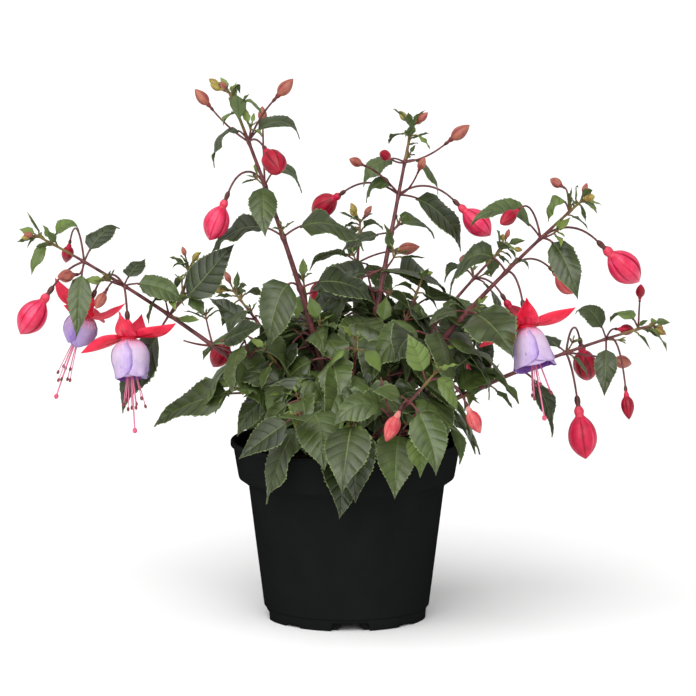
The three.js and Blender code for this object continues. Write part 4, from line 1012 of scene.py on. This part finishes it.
def draw_petal(pile, start, along, spoke, turn, size, lift, corolla, draw):
    """One broad petal: it wraps part of the axis, and its lower edge is round and wavy."""
    rows, columns = PETAL["rows"], PETAL["columns"]
    s = np.linspace(0, 1, rows)[:, None]
    u = np.linspace(-1, 1, columns)[None]
    distances, radii = np.array(COROLLAS[corolla]).T
    length = distances[-1] - draw.uniform(0, PETAL["shorter"]) - distances[0]
    distance = distances[0] + length * (1 - PETAL["round_edge"] * np.abs(u) ** PETAL["round_power"]) * s
    opening = 1 - PETAL["narrow_foot"] * (1 - np.clip(s * PETAL["opens"], 0, 1))
    angle = turn + PETAL["half_span"] * u * opening
    ruffle = RUFFLE[corolla] * np.sin(PETAL["waves"] * math.pi * u + turn * 3) * s ** 4
    crease = PETAL["crease"] * np.exp(-(u / PETAL["crease_wide"]) ** 2) * s
    radius = np.interp(distance, distances, radii) + lift + PETAL["overlap"] * u + ruffle - crease

    def skin(r):
        return start + (along * distance[..., None] + spoke(angle[..., None]) * r[..., None]) * size

    closed = corolla == "globe"
    tints = [petal_tint(row, column, closed) for row in range(rows - 1) for column in range(columns - 1)]
    two_skins(pile, skin(radius - PETAL["thick"]), skin(radius), "petal_inner", tints,
              "petal_blue" if closed else "petal", pointed=False)


THREAD = {"rooted": 6.0, "astray": 0.3, "splay": (0.25, 1), "radii": (0.34, 0.26), "anther": 0.85,
          "anther_long": 1.5}
STYLE = {"radii": (0.5, 0.42), "stigma_at": 0.985, "stigma": 1.35, "stigma_long": 1.15}


def draw_flower(blooms, bells, threads, hang, start, along, draw):
    """A tube with four sepals that bend up, eight petals in two rounds, eight stamens and a long style."""
    size, side = hang["size"], side_of(along)

    def spoke(angle):
        return turned(side, along, angle)

    outline = rounded(TUBE, 3)
    tints = ["ovary" if distance < OVARY_END else "sepal_back" if distance < TUBE_NECK_END else "sepal"
             for distance in outline[:-1, 0]]
    shape = lobed(len(outline), TUBE_SEGMENTS, SEAM["tube"])
    spun(blooms, start, along, outline * size, tints, TUBE_SEGMENTS, shape)
    collar = start + along * SEPAL["at"] * size
    lean = -math.sin(math.radians(SEPAL["rise"]))
    for i, droop in enumerate(SEPAL["droop"]):
        out = spoke(math.radians((i + 0.5) * 90) + hang["turn"])
        path = bending_path(collar, unit(out + along * lean), SEPAL["length"] * size, droop)
        twist = -SEPAL_SKIN["twist"] if i > 1 else SEPAL_SKIN["twist"]
        draw_sepal(blooms, path, unit(np.cross(out, along)), twist, size, draw)
    for i in range(8):
        inside = i < 4
        turn = hang["turn"] + (i + 0.5 * inside) * math.pi / 2
        draw_petal(bells, start, along, spoke, turn, size, PETAL["inside"] * inside, hang["corolla"], draw)
    spun(bells, start, along, rounded(CORE, 4) * size, "petal_inner", 12)
    mouth = start + along * STAMEN["at"] * size
    rooted = THREAD["rooted"] * size
    for i in range(STAMEN["count"]):
        out = spoke(ROUND * i / STAMEN["count"] + draw.uniform(-THREAD["astray"], THREAD["astray"]))
        splay = unit(along + out * STAMEN["spread"] * draw.uniform(*THREAD["splay"]))
        length = between(*STAMEN["length"], draw.random()) * size
        path = bending_path(mouth - along * rooted, splay, length + rooted, STAMEN["droop"])
        path_tube(threads, path, np.array(THREAD["radii"]) * size, "filament", 6, 10)
        knob(threads, path.at(1.0), THREAD["anther"] * size, path.along(1.0), THREAD["anther_long"], "anther")
    path = bending_path(mouth, along, STYLE_LENGTH * size, STAMEN["droop"])
    path_tube(threads, path, np.array(STYLE["radii"]) * size, "filament", 8, 14)
    knob(threads, path.at(STYLE["stigma_at"]), STYLE["stigma"] * size, path.along(1.0), STYLE["stigma_long"],
         "stigma", 10, 8)


# Materials
MATERIALS = {}
BUMP_HEIGHT = 0.0006
MOTTLE_STOPS = (0.3, 0.7)
MOTTLE_DARKER = 2.2  # how far mottle goes down, for each step that it goes up


def linear(colour):
    return tuple(((c / 255 + 0.055) / 1.055) ** 2.4 if c > 10 else c / 255 / 12.92 for c in colour)


def add_node(nodes, kind, **values):
    node = nodes.new(kind)
    for socket, value in values.items():
        node.inputs[socket].default_value = value
    return node


def material(name, colour, roughness, mottle=0.12, scale=90.0, relief=0.0, relief_scale=400.0, *,
             stretch=(1, 1, 1), ior=1.35, darker=None):
    """A base colour that noise shades lighter and darker, with fine bump."""
    mat = bpy.data.materials.new(name)
    mat.use_nodes = True
    nodes, links = mat.node_tree.nodes, mat.node_tree.links
    skin = nodes["Principled BSDF"]
    skin.inputs["Roughness"].default_value = roughness
    skin.inputs["IOR"].default_value = ior
    place = add_node(nodes, "ShaderNodeTexCoord")
    mapping = add_node(nodes, "ShaderNodeMapping", Scale=stretch)
    links.new(place.outputs["Object"], mapping.inputs["Vector"])

    def clouds(size, detail):
        texture = add_node(nodes, "ShaderNodeTexNoise", Scale=size, Detail=detail)
        links.new(mapping.outputs["Vector"], texture.inputs["Vector"])
        return texture.outputs["Fac"]

    base = linear(colour)
    low = linear(darker) if darker else [c * (1 - MOTTLE_DARKER * mottle) for c in base]
    high = [min(c * (1 + mottle), 1) for c in base]
    ramp = add_node(nodes, "ShaderNodeValToRGB")
    for stop, position, shade in zip(ramp.color_ramp.elements, MOTTLE_STOPS, (low, high)):
        stop.position = position
        stop.color = (*shade, 1)
    links.new(clouds(scale, 5), ramp.inputs["Fac"])
    links.new(ramp.outputs["Color"], skin.inputs["Base Color"])
    if relief:
        bump = add_node(nodes, "ShaderNodeBump", Strength=relief, Distance=BUMP_HEIGHT)
        links.new(clouds(relief_scale, 4), bump.inputs["Height"])
        links.new(bump.outputs["Normal"], skin.inputs["Normal"])
    MATERIALS[name] = mat


# Each has its colour, roughness, mottle and its scale, and relief and its scale
def wood_materials():
    material("bark", (104, 74, 60), 0.75, 0.25, 220, 0.6, 700, stretch=(1, 1, 0.35), darker=(62, 38, 32))
    material("stem_red", (110, 61, 61), 0.42, 0.18, 240, 0.2, darker=(69, 33, 36))
    material("stem_green", (110, 102, 54), 0.5, 0.15, 240, 0.15, darker=(100, 67, 50))


def leaf_materials():
    material("leaf_shade", (32, 40, 18), 0.45, 0.14, 70)
    material("leaf_deep", (45, 55, 26), 0.36, 0.18, 120, 0.3, 1300, ior=1.5)
    material("leaf_old", (58, 70, 33), 0.34, 0.18, 120, 0.3, 1300, ior=1.5)
    material("leaf_mid", (71, 86, 41), 0.34, 0.16, 120, 0.3, 1300, ior=1.5)
    material("leaf_fresh", (96, 115, 57), 0.36, 0.14, 80, 0.2, 1300)
    material("leaf_new", (113, 130, 59), 0.45, 0.1, 90, 0.15, 1300, darker=(91, 107, 45))
    material("leaf_under", (86, 100, 61), 0.6, 0.12, 90, 0.2, 1100, ior=1.25)
    material("leaf_edge", (104, 119, 74), 0.5, 0.1)
    material("rib", (97, 109, 65), 0.5, 0.1, 160)


def bud_materials():
    material("ovary", (92, 52, 44), 0.35, 0.2, 300, darker=(58, 24, 24))
    material("bud_pink", (210, 62, 98), 0.28, 0.14, 180, 0.15, 900, ior=1.42, darker=(192, 22, 60))
    material("bud_rose", (209, 69, 92), 0.36, 0.12, 240, darker=(186, 41, 63))
    material("bud_red", (163, 16, 44), 0.36, 0.16, 180, 0.15, 900, darker=(125, 7, 29))
    material("bud_blush", (200, 106, 101), 0.38, 0.12, 220, 0.15, 900, darker=(178, 58, 66))
    material("bud_white", (208, 152, 142), 0.38, 0.12, 240, darker=(184, 66, 70))
    material("bud_pale", (156, 98, 78), 0.4, 0.14, 240, 0.12, darker=(140, 66, 62))
    material("bud_brown", (116, 46, 46), 0.4, 0.14, 240)
    material("bud_green", (146, 140, 62), 0.42, 0.14, 240, 0.12, darker=(138, 104, 58))
    material("bud_seam", (156, 10, 44), 0.45, 0.1, 240)
    material("bud_rib", (194, 28, 64), 0.4, 0.12, 240)
    material("bud_dark", (110, 5, 28), 0.4, 0.12, 240)


def flower_materials():
    material("sepal_root", (194, 8, 41), 0.4, 0.12, 150, darker=(171, 2, 29))
    material("sepal", (226, 38, 70), 0.36, 0.14, 220, 0.2, 800, darker=(204, 10, 44))
    material("sepal_back", (220, 53, 79), 0.42, 0.1, 150, 0.2, 800, darker=(207, 30, 58))
    for name, colour in (("petal_white", (195, 176, 202)), ("petal_pale", (188, 168, 200)),
                         ("petal_mid", (180, 158, 198)), ("petal_lilac", (169, 147, 194))):
        material(name, colour, 0.5, 0.05, 120, 0.2, 700, darker=[c - 8 for c in colour])
    material("petal", (157, 133, 189), 0.5, 0.06, 120, 0.2, 700, darker=(149, 125, 181))
    material("petal_blue", (138, 111, 177), 0.5, 0.07, 120, 0.2, 700, darker=(130, 102, 169))
    material("petal_flush", (218, 173, 203), 0.5, 0.07, 120, 0.2, darker=(211, 153, 190))
    material("petal_root", (212, 89, 128), 0.45, 0.1, 120, 0.2, darker=(203, 61, 102))
    material("petal_inner", (115, 67, 150), 0.5, 0.1, 120, 0.2, darker=(94, 46, 133))
    material("filament", (215, 116, 150), 0.4, 0.1, 260)
    material("anther", (132, 58, 66), 0.6, 0.2, 600, 0.4, 2400)
    material("stigma", (216, 86, 118), 0.45, 0.15, 600, 0.3, 2400)


material("pot", (24, 25, 25), 0.6, 0.05, 60, 0.1, 1500, ior=1)
material("compost", (52, 38, 29), 0.95, 0.5, 260, 0.9, 900, ior=1.2)
material("floor", (246, 246, 246), 0.9, 0.01, 3, ior=1.1)
wood_materials()
leaf_materials()
bud_materials()
flower_materials()


# The pot and its filling
CUT_EDGE = 0.012  # radians from a cut's edge to the angles that stand beside it
AXIS_GAP = 0.5


def half_angle(cut):
    """Half the angle that a cut takes up round the foot."""
    return math.asin(cut["wide"] / 2 / FOOT_RADIUS)


def cut_at(angle):
    past = (math.degrees(angle) - NOTCH_TURN) % 90
    half_notch = math.degrees(half_angle(NOTCH))
    if past < half_notch or past > 90 - half_notch:
        return NOTCH["high"]
    return FOOT_GAP["high"] if abs(past - 45) < math.degrees(half_angle(FOOT_GAP)) else 0.0


def ring_angles():
    """Angles round the foot, with three at each edge of a cut, and how high the cut is there."""
    angles = [(angle, cut_at(angle)) for angle in (ROUND * i / POT_SEGMENTS for i in range(POT_SEGMENTS))]
    for eighth in range(8):
        cut = FOOT_GAP if eighth % 2 else NOTCH
        middle = math.radians(eighth * 45 + NOTCH_TURN)
        for edges, share in ((1, 0), (-1, 0.9), (-3, 1)):
            away = half_angle(cut) + edges * CUT_EDGE
            angles += [((middle + sign * away) % ROUND, share * cut["high"]) for sign in (-1, 1)]
    return np.array(sorted(angles))


def pot_outline():
    """The pot's skin, from the foot ring's outer edge up the outside and down the inside to the floor."""
    foot, rim = (FOOT_RADIUS, 0), (POT_RADIUS, POT_HEIGHT)
    collar_top = (POT_RADIUS - RIM_FLANGE, POT_HEIGHT - RIM_HEIGHT)
    flange = (POT_RADIUS, collar_top[1])
    mouth = (collar_top[0] - POT_WALL, POT_HEIGHT)
    outline = [
        (foot, 0, 0.35), (FOOT_STEP, 0, -0.3), (FOOT_STEP, 0.05, 0), (FOOT_STEP, 0.5, 0.12),
        (BODY_FOOT, -0.15, 0.1), (BODY_FOOT, 0.02, 0.5), (BODY_TOP, -0.1, -1), (BODY_TOP, 0.25, 0.1),
        (BODY_TOP, 1.6, 1.3), (COLLAR_FOOT, -1.4, -0.7), (COLLAR_FOOT, -0.3, 0.1), (COLLAR_FOOT, 0, 0.9),
        (collar_top, -0.05, -0.6), (collar_top, 0.2, -0.1), (flange, -0.5, 0.35), (flange, -0.1, 0.7),
        (flange, 0, 1.1), (rim, 0, -0.7), (rim, -0.25, -0.2), (rim, -0.8, 0), (rim, -1.9, -0.1),
        (mouth, 0, -0.9), (mouth, -0.1, -4), (COLLAR_FOOT, -POT_WALL, 2), (BODY_TOP, -POT_WALL, 0.4),
        ((BODY_FOOT[0], FLOOR_TOP), -POT_WALL, 2), ((FOOT_RADIUS, FLOOR_TOP), -POT_WALL - 2, 0),
        ((AXIS_GAP, FLOOR_TOP), 0, 0),
    ]
    return [(corner[0] + out, corner[1] + up) for corner, out, up in outline]


def draw_pot(pile):
    angle, low = ring_angles().T
    count = len(angle)
    direction = np.stack([np.cos(angle), np.sin(angle)], 1)
    inner = FOOT_RADIUS - FOOT_WALL
    rows = [(AXIS_GAP, FLOOR_UNDERSIDE), (inner, FLOOR_UNDERSIDE), (inner, low + 0.25), (inner + 0.25, low),
            (FOOT_RADIUS - 0.3, low)]
    rows += [(radius, np.maximum(height, low + 0.35) if height < 1 else height)
             for radius, height in pot_outline()]
    points = [np.column_stack([direction * radius, np.broadcast_to(height, count)])
              for radius, height in rows]
    ends = [[0, 0, FLOOR_TOP], [0, 0, FLOOR_UNDERSIDE]]
    faces = lattice(len(rows), count)
    top, bottom, last = len(rows) * count, len(rows) * count + 1, (len(rows) - 1) * count
    for i in range(count):
        k = (i + 1) % count
        faces.append([bottom, k, i])
        faces.append([top, last + i, last + k])
    pile.add(np.concatenate([*points, ends]), faces, "pot")
    for quarter in range(4):
        draw_pad(pile, math.radians(quarter * 90 + NOTCH_TURN))


# Height of each ring of a pad, and half the channel's width there
PAD_RINGS = [(FLOOR_UNDERSIDE + 0.4, 4.6), (4.0, 4.6), (2.8, 4.9), (1.8, 5.6), (1.0, 6.6), (0.5, 7.8),
             (0.4, 10)]
PAD_GAP = 0.6


def draw_pad(pile, turn):
    """One of four hollow pads under the floor. The channels between them flare towards the ground."""
    outer = FOOT_RADIUS - FOOT_WALL - PAD_GAP
    points = []
    for height, half in PAD_RINGS:
        reach = math.sqrt(outer ** 2 - half ** 2)
        arc = np.linspace(math.atan2(half, reach), math.atan2(reach, half), 17) + turn
        points += [(outer * math.cos(a), outer * math.sin(a), height) for a in arc]
        corner = half * math.sqrt(2)
        points.append((corner * math.cos(turn + math.pi / 4), corner * math.sin(turn + math.pi / 4), height))
    count = len(points) // len(PAD_RINGS)
    faces = lattice(len(PAD_RINGS), count, flip=True)
    faces.append(list(range(len(points) - count, len(points)))[::-1])
    faces.append(list(range(count)))
    pile.add(points, faces, "pot")


PEAT = {"rings": 34, "segments": 96, "sunk": 0.9, "lumps": 0.8, "coarse": 0.13, "fine": 0.45,
        "fine_share": 0.6}
CRUMBS = {"count": 420, "size": (0.5, 1.5), "within": 0.97, "sunk": 0.2, "stretch": (0.7, 1.6), "seed": 5}


def draw_compost(pile):
    """A lumpy disc of peat with loose crumbs on it."""
    wall = COLLAR_FOOT[0] - POT_WALL - 2 * CLEAR
    level = 2 * STUMP["flare"]
    rings, segments = PEAT["rings"], PEAT["segments"]
    spokes = [(math.cos(a), math.sin(a)) for a in (ROUND * i / segments for i in range(segments))]
    points = []
    for j in range(rings):
        radius = wall * (j + 0.5) / (rings - 0.5)
        drop = COMPOST_EDGE_DROP * max(0.0, (radius - level) / (wall - level))
        for x, y in ((radius * cos, radius * sin) for cos, sin in spokes):
            lump = noise.noise(Vector((x, y, 0)) * PEAT["coarse"])
            lump += PEAT["fine_share"] * noise.noise(Vector((x, y, 7)) * PEAT["fine"])
            points.append((x, y, COMPOST_TOP - drop - PEAT["sunk"] + PEAT["lumps"] * lump))
    inset = POT_WALL + 2 * CLEAR
    under = [(COLLAR_FOOT[0] - inset, COLLAR_FOOT[1] + 1), (BODY_TOP[0] - inset, BODY_TOP[1]),
             (FOOT_RADIUS - inset, FLOOR_TOP + CLEAR)]
    for radius, height in under:
        points += [(radius * cos, radius * sin, height) for cos, sin in spokes]
    faces = lattice(rings + len(under), segments)
    faces.append(list(range(segments))[::-1])
    faces.append(list(range(len(points) - segments, len(points))))
    pile.add(points, faces, "compost")
    draw = random.Random(CRUMBS["seed"])
    for _ in range(CRUMBS["count"]):
        angle, radius = draw.uniform(0, ROUND), wall * math.sqrt(draw.random()) * CRUMBS["within"]
        size = draw.uniform(*CRUMBS["size"])
        height = COMPOST_TOP - PEAT["sunk"] - size * CRUMBS["sunk"]
        centre = vec((radius * math.cos(angle), radius * math.sin(angle), height))
        along = unit(vec([draw.gauss(0, 1) for _ in range(3)]))
        knob(pile, centre, size, along, draw.uniform(*CRUMBS["stretch"]), "compost", 5, 4)


pot, compost, wood = Pile(), Pile(), Pile()
draw_pot(pot)
draw_compost(compost)
draw_stump(wood)

leaves = {name: Pile() for name in CROWNS}
stalks = {name: Pile() for name in CROWNS}
buds, blooms, bells, threads = Pile(), Pile(), Pile(), Pile()
WOODY_ON = 30.0  # how far bark goes on past a stem's bare part
TIP_SHOOT = {"at": 0.985, "length": 2.5, "leaf": 6}
# What stands beside a leaf: in the full part of the crown a leafy twig, else a small shoot
BESIDE = {"twig": 0.8, "twig_length": (14, 30), "twig_leaf": (34, 50), "shoot": 0.45, "shoot_length": (3, 6),
          "shoot_leaf": (5, 9), "aim": (0.8, 0.9, 0.1)}


def grow_hang(hang, path, nodes, twigs, fine):
    """A bud or flower on its stalk."""
    start = path.at(nodes[hang["at"]][1])
    stalk = bending_path(start, heading(hang["toward"], hang["rise"]), hang["stalk"], hang["droop"])
    thin = STALK[0] + STALK[1] * hang["size"]
    path_tube(twigs, stalk, (thin, thin * 0.85), "stem_red", 7, 14)
    along = stalk.along(1.0)
    foot = stalk.at(1.0) - along * BLOOM_SUNK
    if hang["open"]:
        draw_flower(blooms, bells, threads, hang, foot, along, fine)
    else:
        draw_bud(buds, foot, along, hang["size"], hang["skin"])


def grow_beside(pile, twigs, line, k, t, out, girth, fine):
    outwards, onwards, upwards = BESIDE["aim"]
    aim = unit(out * outwards + line.along(t) * onwards + UP * upwards)
    start = line.at(t)
    if k > 1 and inside_heart(start) and fine.random() < BESIDE["twig"]:
        leafy_twig(pile, twigs, start, aim, fine.uniform(*BESIDE["twig_length"]),
                   fine.uniform(*BESIDE["twig_leaf"]), fine)
    elif k > 0 and fine.random() < BESIDE["shoot"]:
        small_shoot(pile, twigs, start, aim, fine.uniform(*BESIDE["shoot_length"]) + girth,
                    fine.uniform(*BESIDE["shoot_leaf"]), fine)


def grow_crown(crown, pile, twigs, part, line, lowest, draw, fine):
    """The leaves of one stem or branch, from its tip down to where it is bare."""
    add_tip(crown, pile, twigs, line, draw, fine)
    if "young" in part:
        small_shoot(pile, twigs, line.at(TIP_SHOOT["at"]), line.along(1.0), TIP_SHOOT["length"],
                    TIP_SHOOT["leaf"], fine)
    else:
        tip_cluster(pile, twigs, buds, line, fine)
    for k, t in nodes_of(part, line, lowest):
        for sign in (-1, 1):
            leaf, out = leaf_at(part, line, k, t, sign, draw)
            shoots = draw() < SIDE_SHOOT["share"] and k > 0 and not part.get("young")
            add_leaf(crown, pile, twigs, leaf, k, fine, part.get("fresh", 1))
            if shoots:
                add_side_shoot(crown, pile, twigs, part, line, k, t, out, draw, fine)
            else:
                grow_beside(pile, twigs, line, k, t, out, part["girth"], fine)


def grow_stem(index, each):
    draw = random_from(index + 1)
    fine = random.Random(100 + index)
    group = next(name for name, members in CROWNS.items() if each["name"] in members)
    crown = Crown(each["name"])
    pile, twigs = leaves[group], stalks[group]
    path = stem_path(foot_of(each["bend"]), each["bend"], each["tip"])
    parts = [(each, path, each["bare"] + LEAFLESS)]
    every = nodes_of(each, path, 0)
    draw_stem(wood, path, each["girth"], every, each["bare"] + WOODY_ON)
    if "branch" in each:
        branch = each["branch"]
        branch_path = stem_path(path.at(every[branch["at"]][1]), branch["bend"], branch["tip"])
        parts.append((branch, branch_path, LEAFLESS))
        draw_stem(wood, branch_path, branch["girth"], nodes_of(branch, branch_path, 0), 0)
    for hang in each["hangs"]:
        grow_hang(hang, path, every, twigs, fine)
    for part, line, lowest in parts:
        grow_crown(crown, pile, twigs, part, line, lowest, draw, fine)


for index, each in enumerate(STEMS):
    grow_stem(index, each)

boughs = [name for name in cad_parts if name.startswith("bough_")]
pot.make("nursery_pot", "pot", ["pot"])
compost.make("peat", "compost", ["compost"])
wood.make("woody_stems", "bark", ["trunk", *boughs])
for name, members in CROWNS.items():
    leaves[name].make(f"leaves_{name}", "foliage", [f"foliage_{member}" for member in members])
    stalks[name].make(f"stalks_{name}", "foliage")
buds.make("buds", "foliage")
blooms.make("sepals", "foliage")
bells.make("petals", "foliage")
threads.make("stamens", "foliage")

# The stage
WORLD = 0.52
FLOOR_HALF = 6.0
LIGHTS = {
    "soft_key": {"strength": 2.0, "toward": (0.38, 0.62, -0.95), "softness": 75.0},
    "front_fill": {"strength": 1.6, "toward": (-0.05, 0.87, -0.5), "softness": 60.0},
}
CAMERA = {"aim": (0.0008, 0.0, 0.152), "elevation": 8.7, "distance": 2.5, "lens": 231.7, "sensor": 36.0}


def build_floor():
    mesh = bpy.data.meshes.new("floor")
    corners = [(x * FLOOR_HALF, y * FLOOR_HALF, 0) for x, y in ((-1, -1), (1, -1), (1, 1), (-1, 1))]
    mesh.from_pydata(corners, [], [(0, 1, 2, 3)])
    mesh.materials.append(MATERIALS["floor"])
    floor = add_object("floor", mesh)


def build_lights():
    world = bpy.data.worlds.new("studio")
    world.use_nodes = True
    background = world.node_tree.nodes["Background"]
    background.inputs["Color"].default_value = (1, 1, 1, 1)
    background.inputs["Strength"].default_value = WORLD
    bpy.context.scene.world = world
    for name, lamp in LIGHTS.items():
        data = bpy.data.lights.new(name, "SUN")
        data.energy = lamp["strength"]
        data.angle = math.radians(lamp["softness"])
        light = add_object(name, data)
        light.rotation_euler = Vector(lamp["toward"]).to_track_quat("-Z", "Y").to_euler()


def build_camera():
    data = bpy.data.cameras.new("camera")
    data.lens = CAMERA["lens"]
    data.sensor_width = CAMERA["sensor"]
    camera = add_object("camera", data)
    rise = math.radians(CAMERA["elevation"])
    back = Vector((0, -math.cos(rise), math.sin(rise)))
    camera.location = Vector(CAMERA["aim"]) + back * CAMERA["distance"]
    camera.rotation_euler = (-back).to_track_quat("-Z", "Y").to_euler()
    bpy.context.scene.camera = camera


build_floor()
build_lights()
build_camera()
bpy.context.scene.view_settings.view_transform = "Standard"
